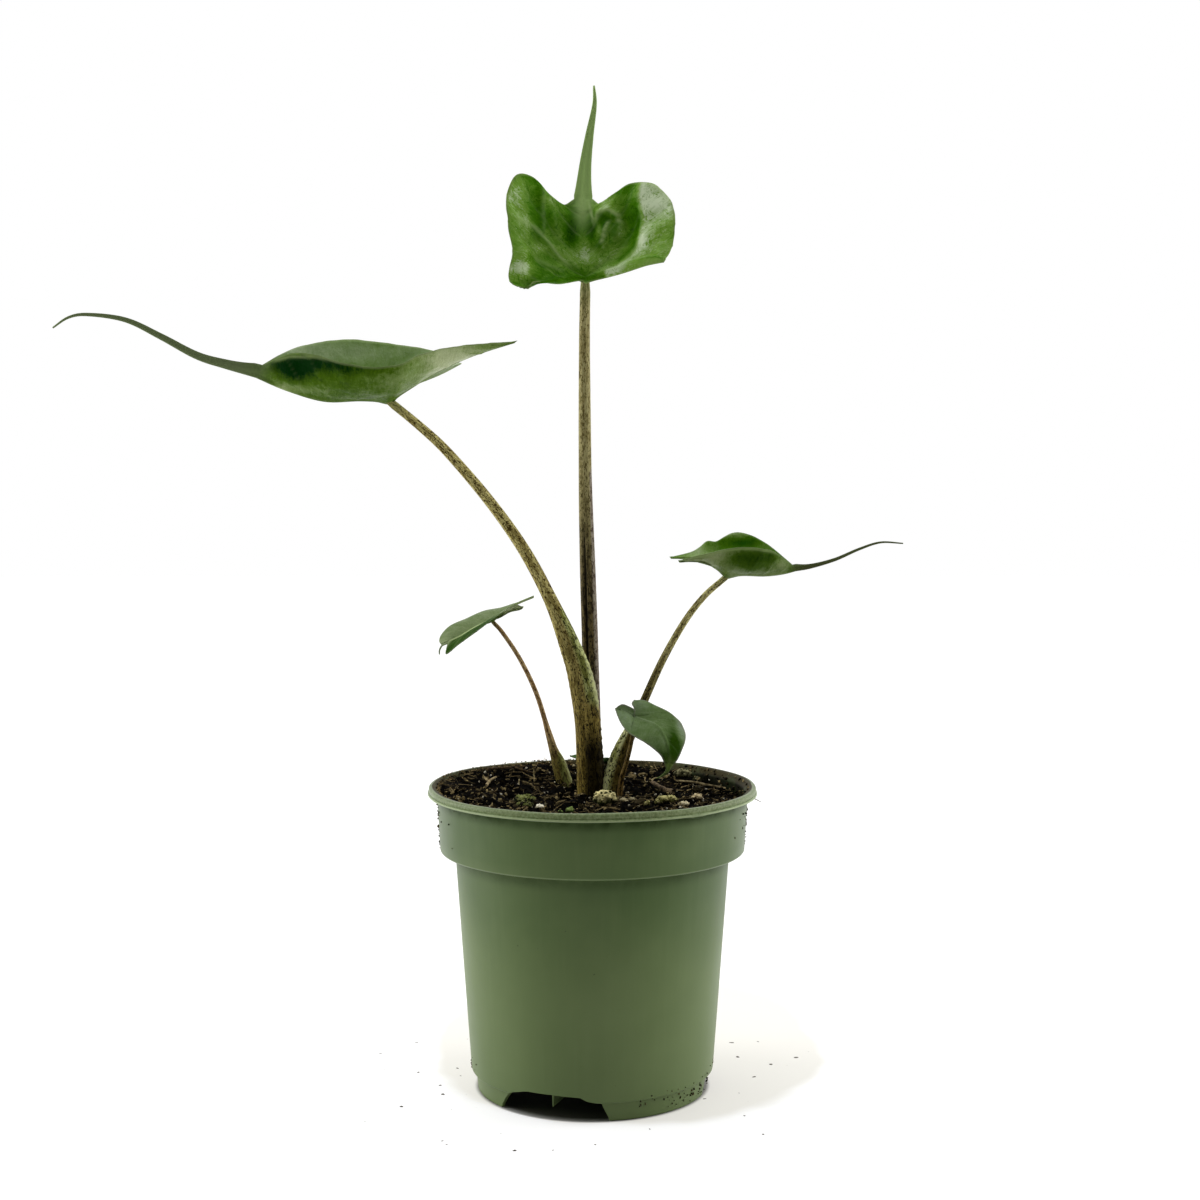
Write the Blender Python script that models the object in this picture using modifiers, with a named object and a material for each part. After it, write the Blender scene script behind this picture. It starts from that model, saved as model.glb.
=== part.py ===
"""A young stingray alocasia in a 12 cm nursery pot. Metres, +Z up, origin on the pot's axis at floor level."""

import math

import bmesh
import bpy
import numpy as np
from mathutils import Matrix, Vector

MM = 0.001
GAP = 0.3 * MM  # left between pieces that touch

# Pot
POT_HEIGHT = 111.4 * MM
LIP_RADIUS = 60.0 * MM
COLLAR_RADIUS = 56.7 * MM
COLLAR_BOTTOM = 87.8 * MM
BODY_TOP_RADIUS = 50.2 * MM
BODY_BOTTOM_RADIUS = 44.5 * MM
FOOT_RADIUS = 42.5 * MM
FOOT_HEIGHT = 6.9 * MM
WALL = 1.2 * MM
FLOOR_TOP = 10.4 * MM
HUB_RADIUS = 8.0 * MM
POT_STEPS = 48
FOOT_COUNT = 3
NOTCH_MIDDLE = math.radians(-20.0)  # from -Y towards +X
NOTCH_LEVELS = [(-1.0, -29.0, 28.5), (4.0, -27.5, 26.3), (8.7, -25.0, 11.5)]  # mm, start and end in degrees
DRAIN_RADIUS = 4.0 * MM
DRAIN_RING = 27.0 * MM
RIB_WIDTH = 1.2 * MM
RIB_BOTTOM = 1.5 * MM

# Soil
SOIL_TOP = 105.5 * MM
SOIL_STEPS = 40
SOIL_HEAP = 4.0 * MM  # how much higher it lies against the wall at the back left
SOIL_HEAP_SIDE = math.radians(125.0)
SOIL_WAVE = 0.5 * MM

# Leaves
BLADE_THICKNESS = 0.8 * MM
BLADE_ROWS = 14
LOBE_ROWS = 6
TAIL_ROWS = 9
BLADE_COLUMNS = 3
TAIL_TIP_WIDTH = 0.3 * MM

# Each leaf's points are in millimetres from where its blade meets its stem, +Y away from the front.
# midrib: from the stem to the start of the tail. tail: on to its tip. margin: from a side's back lobe round
# to the start of the tail. sinus: from the stem back out to that lobe. The first side is the left-hand one, seen
# from above with the tail ahead. cup: how far the blade sags below its ribs. lobe_arch: how far the back lobes'
# ribs arch up.
LEAVES = {
    "top_leaf": {
        "stem_end": (-2.6, 10.0, 295.7),
        "midrib": [(-0.5, 3.0, 6.0), (-1.0, 7.0, 16.5), (-1.0, 12.5, 30.5)],
        "tail": [(0.0, 16.0, 43.0), (1.5, 17.5, 54.0), (3.4, 18.5, 65.5), (3.2, 18.0, 72.3)],
        "tail_width": 5.2,
        "cup": 4.0,
        "lobe_arch": 0.4,
        "sides": {
            "left": {
                "margin": [(-22.5, -15.0, -5.0), (-27.1, -13.0, 1.5), (-26.2, -11.0, 9.5), (-28.1, -8.0, 19.0),
                           (-28.0, -3.0, 28.5), (-24.5, 2.0, 37.0), (-19.5, 6.0, 37.0), (-14.0, 9.0, 31.5),
                           (-8.5, 11.0, 27.5), (-4.2, 12.3, 30.0)],
                "sinus": [(-8.0, -4.0, -2.0), (-17.0, -10.0, -2.5)],
            },
            "right": {
                "margin": [(30.2, -16.0, 6.0), (32.6, -9.0, 12.8), (32.0, -4.0, 22.0), (28.5, 0.0, 31.5),
                           (22.0, 2.0, 35.0), (14.0, 6.0, 33.5), (7.5, 9.0, 27.0), (2.6, 12.3, 30.0)],
                "sinus": [(8.0, -4.0, 0.0), (20.0, -11.0, 3.0)],
            },
        },
    },
    "left_leaf": {
        "stem_end": (-73.0, -2.0, 251.2),
        "midrib": [(-10.5, 0.0, 0.4), (-23.0, 0.0, 0.2), (-35.5, 0.0, 3.7), (-47.5, 0.0, 8.6)],
        "tail": [(-58.5, -0.5, 11.7), (-69.0, -1.0, 15.2), (-81.5, -2.0, 22.1), (-93.5, -3.0, 28.0),
                 (-106.5, -4.0, 30.0), (-113.3, -4.6, 29.1), (-119.0, -5.0, 25.5)],
        "tail_width": 5.6,
        "cup": 3.0,
        "lobe_arch": 2.6,
        "sides": {
            "near": {
                "margin": [(47.0, -14.0, 20.0), (34.0, -17.0, 19.0), (23.0, -20.0, 17.5), (13.5, -23.0, 15.0),
                           (6.5, -25.0, 11.5), (-2.0, -25.0, 10.5), (-13.0, -22.0, 12.0), (-24.0, -17.0, 14.0),
                           (-33.5, -11.0, 14.5), (-45.0, -2.5, 12.0)],
                "sinus": [(11.0, -4.0, 6.0), (23.5, -8.0, 11.0), (36.0, -12.0, 17.0)],
            },
            "far": {
                "margin": [(25.0, 16.0, 13.5), (20.0, 19.0, 16.5), (13.0, 22.0, 19.0), (-2.0, 25.0, 21.5),
                           (-18.5, 24.0, 23.0), (-32.5, 17.0, 20.5), (-40.0, 10.0, 17.0), (-46.0, 2.5, 12.5)],
                "sinus": [(7.0, 4.0, 4.5), (17.0, 10.0, 9.0)],
            },
        },
    },
    "right_leaf": {
        "stem_end": (50.1, 18.0, 186.9),
        "midrib": [(6.5, 0.0, 0.3), (14.0, 0.0, 0.1), (20.5, 0.0, 0.8), (25.5, 0.0, 2.0)],
        "tail": [(31.5, 0.0, 3.0), (40.5, 1.0, 5.6), (49.5, 2.0, 9.5), (57.5, 3.0, 12.0), (66.0, 4.0, 11.7)],
        "tail_width": 2.4,
        "cup": 2.0,
        "lobe_arch": 2.8,
        "sides": {
            "far": {
                "margin": [(-21.0, 10.0, 6.0), (-11.5, 12.0, 8.5), (-7.0, 13.0, 12.0), (-3.0, 14.0, 12.0),
                           (2.5, 15.0, 15.0), (7.5, 15.0, 15.0), (13.5, 13.0, 12.5), (18.0, 10.0, 9.5),
                           (24.5, 1.8, 3.8)],
                "sinus": [(-5.5, 4.0, 3.0), (-13.5, 8.0, 5.0)],
            },
            "near": {
                "margin": [(-18.5, -8.0, 5.5), (-10.5, -10.0, 8.0), (-2.0, -12.0, 10.0), (4.5, -13.0, 11.0),
                           (11.0, -12.5, 10.5), (16.0, -10.0, 9.5), (20.0, -6.0, 7.0), (24.5, -1.6, 3.6)],
                "sinus": [(-5.0, -3.0, 3.0), (-10.5, -6.0, 5.0)],
            },
        },
    },
    "small_left_leaf": {
        "stem_end": (-38.6, 38.0, 168.4),
        "midrib": [(-5.5, -0.5, -2.5), (-11.5, -1.0, -6.0), (-16.0, -1.5, -8.0)],
        "tail": [(-18.6, -2.0, -9.4), (-19.8, -2.4, -11.2), (-20.0, -2.8, -13.0)],
        "tail_width": 1.4,
        "cup": -0.8,
        "lobe_arch": 1.0,
        "sides": {
            "near": {
                "margin": [(13.0, -4.0, 5.0), (8.0, -7.0, 4.0), (3.0, -9.0, 1.8), (-4.5, -10.5, -3.0),
                           (-12.0, -9.5, -8.5), (-17.0, -7.0, -12.5), (-17.0, -2.6, -9.2)],
                "sinus": [(3.0, -1.5, 1.5), (8.0, -3.0, 3.5)],
            },
            "far": {
                "margin": [(16.0, 8.0, 8.5), (10.5, 10.0, 6.0), (3.5, 11.5, 4.0), (-4.0, 12.0, 2.5),
                           (-10.5, 11.0, -0.3), (-16.5, 8.0, -2.8), (-19.8, 4.2, -6.4), (-18.4, 0.0, -8.6)],
                "sinus": [(3.0, 2.0, 2.0), (8.5, 5.0, 5.0)],
            },
        },
    },
    "small_front_leaf": {
        "stem_end": (15.1, -6.0, 136.9),
        "midrib": [(4.0, -3.0, -1.0), (7.5, -6.5, -2.0), (10.0, -9.5, -4.5), (11.8, -11.6, -9.5),
                   (11.6, -12.1, -13.8)],
        "tail": [(11.3, -12.1, -15.6), (11.0, -12.0, -17.6)],
        "tail_width": 1.2,
        "cup": -0.8,
        "lobe_arch": 0.5,
        "sides": {
            "right": {
                "margin": [(0.0, 4.0, 5.5), (3.5, 5.0, 5.5), (7.5, 4.0, 4.0), (13.0, 1.0, 1.5),
                           (17.0, -2.5, -2.0), (18.5, -5.5, -6.0), (17.2, -9.0, -10.2), (14.4, -11.2, -13.2),
                           (12.6, -12.0, -14.6)],
                "sinus": [(0.5, 1.5, 1.5), (0.5, 3.0, 3.5)],
            },
            "left": {
                "margin": [(-7.0, -3.0, 3.5), (-5.0, -7.0, -1.0), (-2.5, -10.0, -4.0), (2.0, -12.5, -6.5),
                           (6.0, -13.5, -9.0), (9.2, -13.3, -11.8), (10.5, -12.8, -14.2)],
                "sinus": [(-2.0, -1.0, 1.5), (-4.5, -2.0, 4.5)],
            },
        },
    },
    "back_leaf": {
        "stem_end": (-1.0, 41.0, 111.5),
        "midrib": [(1.5, 3.0, 1.0), (4.0, 6.0, 0.8), (7.0, 8.5, -0.5)],
        "tail": [(8.5, 9.5, -1.2), (9.5, 10.0, -2.0)],
        "tail_width": 1.6,
        "cup": 0.4,
        "lobe_arch": 0.6,
        "sides": {
            "far": {
                "margin": [(-8.0, 4.0, 3.2), (-4.0, 8.0, 3.4), (1.5, 10.5, 2.4), (6.2, 9.8, 0.2)],
                "sinus": [(-4.0, 2.0, 2.0)],
            },
            "near": {
                "margin": [(-1.0, -5.0, 2.6), (3.5, -3.0, 3.4), (8.0, 1.0, 2.8), (8.2, 7.6, 0.2)],
                "sinus": [(-1.0, -2.5, 1.6)],
            },
        },
    },
}

# Each stem's points are in millimetres from its foot in the soil up; its radius is given at the foot, at the
# middle and at the blade. The first two points are its buried foot.
STEMS = {
    "top_stem": {
        "path": [(0.0, 20.5, 96.0), (0.0, 20.5, 108.0), (0.0, 20.5, 121.0), (-1.1, 19.0, 160.0),
                 (-2.4, 15.5, 210.0), (-2.9, 11.5, 266.0), (-2.6, 10.2, 293.9)],
        "radii": (3.1, 2.7, 1.9),
    },
    "left_stem": {
        "path": [(-2.2, 13.3, 96.0), (-2.2, 13.3, 108.0), (-2.5, 13.3, 121.0), (-4.4, 13.0, 146.0),
                 (-8.5, 12.0, 161.5), (-16.0, 10.5, 179.5), (-25.2, 8.5, 197.0), (-37.5, 6.0, 214.7),
                 (-52.3, 2.5, 232.3), (-62.1, 0.0, 241.7), (-71.6, -1.8, 249.6)],
        "radii": (3.6, 2.5, 1.5),
    },
    "right_stem": {
        "path": [(5.2, 12.8, 96.0), (8.0, 13.0, 108.0), (11.2, 13.3, 120.8), (15.5, 14.0, 131.2),
                 (20.5, 15.0, 143.1), (26.5, 16.0, 156.0), (34.3, 17.0, 169.6), (41.5, 17.6, 178.9),
                 (48.6, 18.0, 185.2)],
        "radii": (3.2, 1.5, 1.1),
    },
    "small_left_stem": {
        "path": [(-8.6, 28.6, 96.0), (-11.8, 29.2, 108.0), (-13.6, 29.6, 114.5), (-16.6, 31.0, 125.0),
                 (-21.4, 33.0, 140.5), (-27.8, 35.0, 153.7), (-34.5, 37.0, 163.6), (-37.6, 37.8, 167.0)],
        "radii": (2.5, 0.95, 0.8),
    },
    "small_front_stem": {
        "path": [(9.4, 7.4, 96.0), (10.3, 6.6, 108.0), (10.9, 5.6, 112.8), (12.7, 2.6, 119.7),
                 (14.3, -1.6, 127.5), (15.0, -5.0, 134.9)],
        "radii": (1.2, 0.9, 0.7),
    },
    "back_stem": {
        "path": [(2.2, 28.0, 96.0), (1.0, 34.0, 107.6), (0.2, 37.4, 109.6), (-0.6, 40.0, 110.3)],
        "radii": (1.3, 1.0, 0.6),
    },
}

# Loose pieces on the soil: place on the soil (x, y), half sizes (x, y, z), turn about Z in degrees, all in mm.
CRUMBS = {
    "crumb_clump": {"at": (5.0, -14.0), "half": (4.6, 4.0, 3.6), "turn": 20.0, "material": "crumb"},
    "moss_clump": {"at": (-24.4, -14.0), "half": (4.0, 3.2, 2.2), "turn": 0.0, "material": "moss"},
    "perlite_grain": {"at": (-18.4, -23.0), "half": (1.7, 1.4, 1.2), "turn": 30.0, "material": "perlite"},
    "lichen_chip": {"at": (27.3, -8.0), "half": (3.8, 2.2, 1.6), "turn": 10.0, "material": "crumb"},
    "cream_chip": {"at": (32.6, -16.0), "half": (2.2, 1.7, 1.3), "turn": -25.0, "material": "perlite"},
    "bark_curl": {"at": (38.3, -5.0), "half": (2.5, 1.9, 1.5), "turn": 35.0, "material": "bark"},
    "root_knot": {"at": (34.5, 34.0), "half": (3.4, 2.6, 2.2), "turn": 0.0, "material": "moss"},
}
TWIGS = {
    "twig_left": {"from": (-39.5, 12.0, 0.9), "to": (-37.0, 27.0, 4.0), "radius": 0.8},
    "twig_right": {"from": (29.7, 7.0, 1.4), "to": (22.3, 24.0, 1.8), "radius": 1.3},
}

# Colour, roughness and metallic value of each material
MATERIALS = {
    "pot": ((0.09, 0.135, 0.055), 0.55, 0.0),
    "soil": ((0.018, 0.012, 0.008), 0.95, 0.0),
    "leaf": ((0.07, 0.17, 0.03), 0.35, 0.0),
    "stem": ((0.16, 0.13, 0.05), 0.5, 0.0),
    "crumb": ((0.42, 0.38, 0.16), 0.9, 0.0),
    "moss": ((0.07, 0.1, 0.03), 0.95, 0.0),
    "perlite": ((0.72, 0.7, 0.6), 0.9, 0.0),
    "bark": ((0.13, 0.085, 0.045), 0.9, 0.0),
}


def clear_scene():
    for obj in list(bpy.data.objects):
        bpy.data.objects.remove(obj)


def make_collection(name, hidden):
    collection = bpy.data.collections.new(name)
    collection.hide_render = hidden
    bpy.context.scene.collection.children.link(collection)
    return collection


def make_material(name):
    colour, roughness, metallic = MATERIALS[name]
    material = bpy.data.materials.new(name)
    material.use_nodes = True
    shader = material.node_tree.nodes["Principled BSDF"]
    shader.inputs["Base Color"].default_value = (*colour, 1.0)
    shader.inputs["Roughness"].default_value = roughness
    shader.inputs["Metallic"].default_value = metallic
    return material


def add_object(name, data, collection, material=None):
    obj = bpy.data.objects.new(name, data)
    collection.objects.link(obj)
    if material:
        data.materials.append(material)
    return obj


def add_part(name, data, material):
    return add_object(name, data, PARTS, MADE[material])


def add_cutter(name, mesh):
    cutter = add_object(name, mesh, CUTTERS)
    cutter.hide_render = True
    cutter.display_type = "WIRE"
    return cutter


def cut(obj, cutter, operation="DIFFERENCE"):
    boolean = obj.modifiers.new(cutter.name, "BOOLEAN")
    boolean.object = cutter
    boolean.operation = operation


def mesh_of(bm, name):
    bmesh.ops.recalc_face_normals(bm, faces=bm.faces)
    mesh = bpy.data.meshes.new(name)
    bm.to_mesh(mesh)
    bm.free()
    return mesh


def smooth_path(points, count):
    """Evenly spaced samples, in metres, of the Catmull-Rom curve through points given in millimetres."""
    knots = np.array(points, float) * MM
    knots = np.vstack([2 * knots[0] - knots[1], knots, 2 * knots[-1] - knots[-2]])
    place = np.linspace(0, len(points) - 1, 24 * len(points))
    span = np.minimum(place.astype(int), len(points) - 2)
    t = (place - span)[:, None]
    a, b, c, d = (knots[span + step] for step in range(4))
    fine = 0.5 * (2 * b + (c - a) * t + (2 * a - 5 * b + 4 * c - d) * t**2 + (3 * b - a - 3 * c + d) * t**3)
    run = np.concatenate([[0], np.cumsum(np.linalg.norm(np.diff(fine, axis=0), axis=1))])
    even = np.linspace(0, run[-1], count)
    return np.stack([np.interp(even, run, fine[:, axis]) for axis in range(3)], axis=1)


def unit(vectors):
    return vectors / np.maximum(np.linalg.norm(vectors, axis=-1, keepdims=True), 1e-12)


# Pot


def turned_profile(name, profile):
    """An open profile of (radius, height) pairs to be turned about Z."""
    points = [(radius, 0.0, height) for radius, height in profile]
    mesh = bpy.data.meshes.new(name)
    mesh.from_pydata(points, [(i, i + 1) for i in range(len(points) - 1)], [])
    return mesh


def turn(obj, steps):
    screw = obj.modifiers.new("turn", "SCREW")
    screw.steps = steps
    screw.render_steps = steps
    screw.use_merge_vertices = True
    screw.merge_threshold = 0.00005
    screw.use_smooth_shade = True


def pot_profile():
    lip_bottom = POT_HEIGHT - 3.2 * MM
    collar_low = COLLAR_RADIUS - 1.1 * MM
    foot_inside = FOOT_RADIUS - 1.5 * MM
    return [
        (0.0, FLOOR_TOP),
        (HUB_RADIUS, FLOOR_TOP),
        (BODY_BOTTOM_RADIUS - WALL - 1.0 * MM, FLOOR_TOP),
        (BODY_BOTTOM_RADIUS - WALL + 0.3 * MM, FLOOR_TOP + 1.2 * MM),
        (BODY_TOP_RADIUS - WALL, COLLAR_BOTTOM + 0.4 * MM),
        (BODY_TOP_RADIUS - WALL + 0.4 * MM, COLLAR_BOTTOM + WALL),
        (collar_low - WALL, COLLAR_BOTTOM + WALL + 0.2 * MM),
        (COLLAR_RADIUS - WALL, lip_bottom + 1.0 * MM),
        (LIP_RADIUS - 2.6 * MM, POT_HEIGHT - 0.4 * MM),
        (LIP_RADIUS - 1.9 * MM, POT_HEIGHT),
        (LIP_RADIUS - 0.7 * MM, POT_HEIGHT),
        (LIP_RADIUS, POT_HEIGHT - 0.7 * MM),
        (LIP_RADIUS, lip_bottom + 0.6 * MM),
        (LIP_RADIUS - 0.6 * MM, lip_bottom),
        (COLLAR_RADIUS, lip_bottom - 0.1 * MM),
        (collar_low + 0.1 * MM, COLLAR_BOTTOM + 0.6 * MM),
        (collar_low - 0.5 * MM, COLLAR_BOTTOM),
        (BODY_TOP_RADIUS + 0.4 * MM, COLLAR_BOTTOM - 0.5 * MM),
        (BODY_TOP_RADIUS, COLLAR_BOTTOM - 1.4 * MM),
        (BODY_BOTTOM_RADIUS, FOOT_HEIGHT + 0.5 * MM),
        (BODY_BOTTOM_RADIUS - 0.5 * MM, FOOT_HEIGHT),
        (FOOT_RADIUS + 0.3 * MM, FOOT_HEIGHT),
        (FOOT_RADIUS, FOOT_HEIGHT - 0.5 * MM),
        (FOOT_RADIUS - 0.3 * MM, 0.0),
        (foot_inside, 0.0),
        (foot_inside, FLOOR_TOP - WALL),
        (HUB_RADIUS, FLOOR_TOP - WALL),
        (HUB_RADIUS, 0.0),
        (0.0, 0.0),
    ]


def notch_mesh():
    """One wedge for each gap between the feet, wider at the floor than at its top."""
    inside, outside = FOOT_RADIUS - 3.0 * MM, BODY_BOTTOM_RADIUS + 2.0 * MM
    steps = 6
    bm = bmesh.new()
    for foot in range(FOOT_COUNT):
        middle = NOTCH_MIDDLE + foot * math.tau / FOOT_COUNT
        grid = []
        for height, start, end in NOTCH_LEVELS:
            for radius in (inside, outside):
                angles = np.radians(np.linspace(start, end, steps + 1)) + middle
                ring = [(radius * math.sin(a), -radius * math.cos(a), height * MM) for a in angles]
                grid.append([bm.verts.new(point) for point in ring])
        for i in range(steps):
            for lower in (0, 2):
                for side in (0, 1):
                    near, far = grid[lower + side], grid[lower + side + 2]
                    bm.faces.new([near[i], near[i + 1], far[i + 1], far[i]])
            bm.faces.new([grid[0][i], grid[0][i + 1], grid[1][i + 1], grid[1][i]])
            bm.faces.new([grid[4][i], grid[4][i + 1], grid[5][i + 1], grid[5][i]])
        for end in (0, steps):
            for lower in (0, 2):
                rows = grid[lower], grid[lower + 1], grid[lower + 3], grid[lower + 2]
                bm.faces.new([row[end] for row in rows])
    return mesh_of(bm, "notches")


def drain_mesh():
    """Round holes through the floor, two between each pair of ribs."""
    bm = bmesh.new()
    for hole in range(2 * FOOT_COUNT):
        angle = NOTCH_MIDDLE + (hole + 0.5) * math.pi / FOOT_COUNT
        middle = Vector((DRAIN_RING * math.sin(angle), -DRAIN_RING * math.cos(angle), FLOOR_TOP - WALL / 2))
        bmesh.ops.create_cone(
            bm, cap_ends=True, segments=14, radius1=DRAIN_RADIUS, radius2=DRAIN_RADIUS, depth=4 * WALL,
            matrix=Matrix.Translation(middle),
        )
    return mesh_of(bm, "drain_holes")


def rib_mesh(angle):
    """A thin upright web under the floor, from the hub to the gap between two feet."""
    start, end = HUB_RADIUS - 0.8 * MM, FOOT_RADIUS - 2.6 * MM
    top = FLOOR_TOP - WALL / 2
    bm = bmesh.new()
    bmesh.ops.create_cube(bm, size=1.0)
    bmesh.ops.scale(bm, vec=(RIB_WIDTH, end - start, top - RIB_BOTTOM), verts=bm.verts)
    bmesh.ops.translate(bm, vec=(0, -(start + end) / 2, (top + RIB_BOTTOM) / 2), verts=bm.verts)
    bmesh.ops.rotate(bm, cent=(0, 0, 0), matrix=Matrix.Rotation(angle, 3, "Z"), verts=bm.verts)
    return mesh_of(bm, "rib")


def make_pot():
    profile = pot_profile()
    pot = add_part("pot", turned_profile("pot", profile), "pot")
    turn(pot, POT_STEPS)
    cut(pot, add_cutter("notches", notch_mesh()))
    cut(pot, add_cutter("drain_holes", drain_mesh()))
    for foot in range(FOOT_COUNT):
        angle = NOTCH_MIDDLE + foot * math.tau / FOOT_COUNT
        cut(pot, add_cutter(f"rib_{foot + 1}", rib_mesh(angle)), "UNION")


# Soil


def soil_height(x, y):
    """The soil dips in the middle and is heaped against the wall on one side."""
    wave = math.sin(210 * x + 1) * math.sin(170 * y)
    out = (math.hypot(x, y) / COLLAR_RADIUS) ** 2
    heap = 0.5 + 0.5 * math.cos(math.atan2(y, x) - SOIL_HEAP_SIDE)
    return SOIL_TOP + SOIL_HEAP * out * heap + SOIL_WAVE * wave


def make_soil():
    """A plug of potting soil that fills the pot, with a socket for each stem."""
    rim = COLLAR_RADIUS - WALL - 2 * GAP
    inner_bottom = BODY_BOTTOM_RADIUS - WALL - 1.2 * MM
    inner_top = BODY_TOP_RADIUS - WALL - 2 * GAP
    profile = [(radius * MM, SOIL_TOP) for radius in (0, 12, 24, 36, 46)]
    profile += [
        (rim, SOIL_TOP),
        (COLLAR_RADIUS - WALL - 1.4 * MM, COLLAR_BOTTOM + WALL + 0.9 * MM),
        (inner_top, COLLAR_BOTTOM + WALL),
        (inner_bottom, FLOOR_TOP + 1.4 * MM),
        (inner_bottom - 1.0 * MM, FLOOR_TOP + GAP),
        (0.0, FLOOR_TOP + GAP),
    ]
    soil = add_part("soil", turned_profile("soil", profile), "soil")
    turn(soil, SOIL_STEPS)
    bake(soil)
    for vertex in soil.data.vertices:
        if vertex.co.z > SOIL_TOP - MM:
            vertex.co.z = soil_height(vertex.co.x, vertex.co.y)
    for name, stem in STEMS.items():
        cut(soil, add_cutter(name + "_socket", socket_mesh(stem)))


def bake(obj):
    """Replaces the object's mesh by what its modifiers make of it."""
    graph = bpy.context.evaluated_depsgraph_get()
    mesh = bpy.data.meshes.new_from_object(obj.evaluated_get(graph))
    obj.modifiers.clear()
    obj.data = mesh


def socket_mesh(stem):
    """A straight round hole along the stem's buried foot."""
    foot, collar = (Vector(point) * MM for point in stem["path"][:2])
    along = (collar - foot).normalized()
    start, end = foot - along * 2 * GAP, collar + along * 8 * MM
    radius = stem["radii"][0] * MM + 1.2 * GAP
    turned = along.to_track_quat("Z", "Y").to_matrix().to_4x4()
    bm = bmesh.new()
    bmesh.ops.create_cone(
        bm, cap_ends=True, segments=12, radius1=radius / math.cos(math.pi / 12),
        radius2=radius / math.cos(math.pi / 12), depth=(end - start).length,
        matrix=Matrix.Translation((start + end) / 2) @ turned,
    )
    return mesh_of(bm, "socket")


# Stems and twigs


def tube(name, points, radii, material):
    """A round bar through the points, in metres, with a radius at each."""
    curve = bpy.data.curves.new(name, "CURVE")
    curve.dimensions = "3D"
    curve.bevel_depth = MM
    curve.bevel_resolution = 2
    curve.use_fill_caps = True
    spline = curve.splines.new("POLY")
    spline.points.add(len(points) - 1)
    for knot, point, radius in zip(spline.points, points, radii):
        knot.co = (*point, 1.0)
        knot.radius = radius / MM
    return add_part(name, curve, material)


def make_stem(name, stem):
    """The buried foot keeps one direction and one radius, so that it stays clear of its socket."""
    low, middle, high = stem["radii"]
    foot = np.array(stem["path"][:2]) * MM
    length = sum(math.dist(a, b) for a, b in zip(stem["path"][1:], stem["path"][2:]))
    count = 5 + int(length / 7)
    above = smooth_path(stem["path"][1:], count)
    share = np.linspace(0, 1, count)
    radii = np.interp(share, (0, 0.45, 1), (low, middle, high)) * MM
    points = np.vstack([foot[:1], above])
    tube(name, points, [low * MM, *radii], "stem")


def make_twig(name, twig):
    ends = []
    for x, y, lift in (twig["from"], twig["to"]):
        ends.append(Vector((x * MM, y * MM, soil_height(x * MM, y * MM) + lift * MM + GAP)))
    start, end = ends
    middle = (start + end) / 2 + Vector((0, 0, 0.4 * MM))
    radius = twig["radius"] * MM
    tube(name, [tuple(start), tuple(middle), tuple(end)], [radius, radius, 0.8 * radius], "bark")


# Blades


def tail_half(leaf, start):
    """(centre line, edge) of one half of the tail, whose edge sets out from the margin's last point."""
    tail = smooth_path([leaf["midrib"][-1], *leaf["tail"]], TAIL_ROWS + 1)
    along = unit(np.gradient(tail, axis=0))
    begin = np.linalg.norm(start - tail[0])
    across = unit(start - tail[0] - along * (along @ (start - tail[0]))[:, None])
    share = np.linspace(0, 1, TAIL_ROWS + 1)
    narrow = leaf["tail_width"] * MM / 2
    width = (narrow + (begin - narrow) * np.exp(-9 * share)) * (1 - share) ** 0.8 + TAIL_TIP_WIDTH / 2
    return tail[1:], (tail + across * width[:, None])[1:]


def half_blade(leaf, side, upward):
    """Rows of points from the rib to the margin of one half of a blade, in metres.

    The rows run from the back lobe's tip along its rib to the stem, then along the midrib and the tail. upward is
    1 or -1, whichever makes the half sag away from the upper face.
    """
    tip = np.array(side["margin"][0])
    lobe_rib = smooth_path([tip, tip * 0.5 + (0, 0, leaf["lobe_arch"]), (0, 0, 0)], LOBE_ROWS + 1)
    midrib = smooth_path([(0, 0, 0), *leaf["midrib"]], BLADE_ROWS - LOBE_ROWS + 1)
    rib = np.vstack([lobe_rib, midrib[1:]])
    margin = smooth_path(side["margin"], BLADE_ROWS + 1)
    tail, tail_edge = tail_half(leaf, margin[-1])
    rib = np.vstack([rib, tail])
    margin = np.vstack([margin, tail_edge])
    facing = upward * unit(np.cross(unit(np.gradient(rib, axis=0)), margin - rib))
    reach = np.linalg.norm(margin - rib, axis=1, keepdims=True)
    sag = leaf["cup"] * MM * reach / reach.max()
    rows = []
    for share in np.linspace(0, 1, BLADE_COLUMNS + 1):
        rows.append(rib * (1 - share) + margin * share - facing * sag * math.sin(math.pi * share))
    return np.stack(rows, axis=1)


def lobe_flap(side, rows):
    """Rows of points between a lobe's rib and the edge of the gap behind the stem."""
    rib = rows[LOBE_ROWS::-1, 0]
    edge = smooth_path([(0, 0, 0), *side["sinus"], side["margin"][0]], LOBE_ROWS + 1)
    return np.stack([rib, (rib + edge) / 2, edge], axis=1)


def add_sheet(bm, rows, offset):
    """Adds a grid of quads through the rows of points."""
    grid = [[bm.verts.new(Vector(point) + offset) for point in row] for row in rows]
    for low, high in zip(grid, grid[1:]):
        for i in range(len(low) - 1):
            bm.faces.new([low[i], low[i + 1], high[i + 1], high[i]])


def make_blade(name, leaf):
    """An open sheet of both halves and both lobes, welded along the ribs and thickened."""
    offset = Vector(leaf["stem_end"]) * MM
    bm = bmesh.new()
    for side, upward in zip(leaf["sides"].values(), (1, -1)):
        rows = half_blade(leaf, side, upward)
        add_sheet(bm, rows, offset)
        add_sheet(bm, lobe_flap(side, rows), offset)
    bmesh.ops.remove_doubles(bm, verts=bm.verts, dist=0.00001)
    blade = add_part(name, mesh_of(bm, name), "leaf")
    solidify = blade.modifiers.new("thickness", "SOLIDIFY")
    solidify.thickness = BLADE_THICKNESS
    solidify.offset = 0.0


# Loose pieces on the soil


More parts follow.
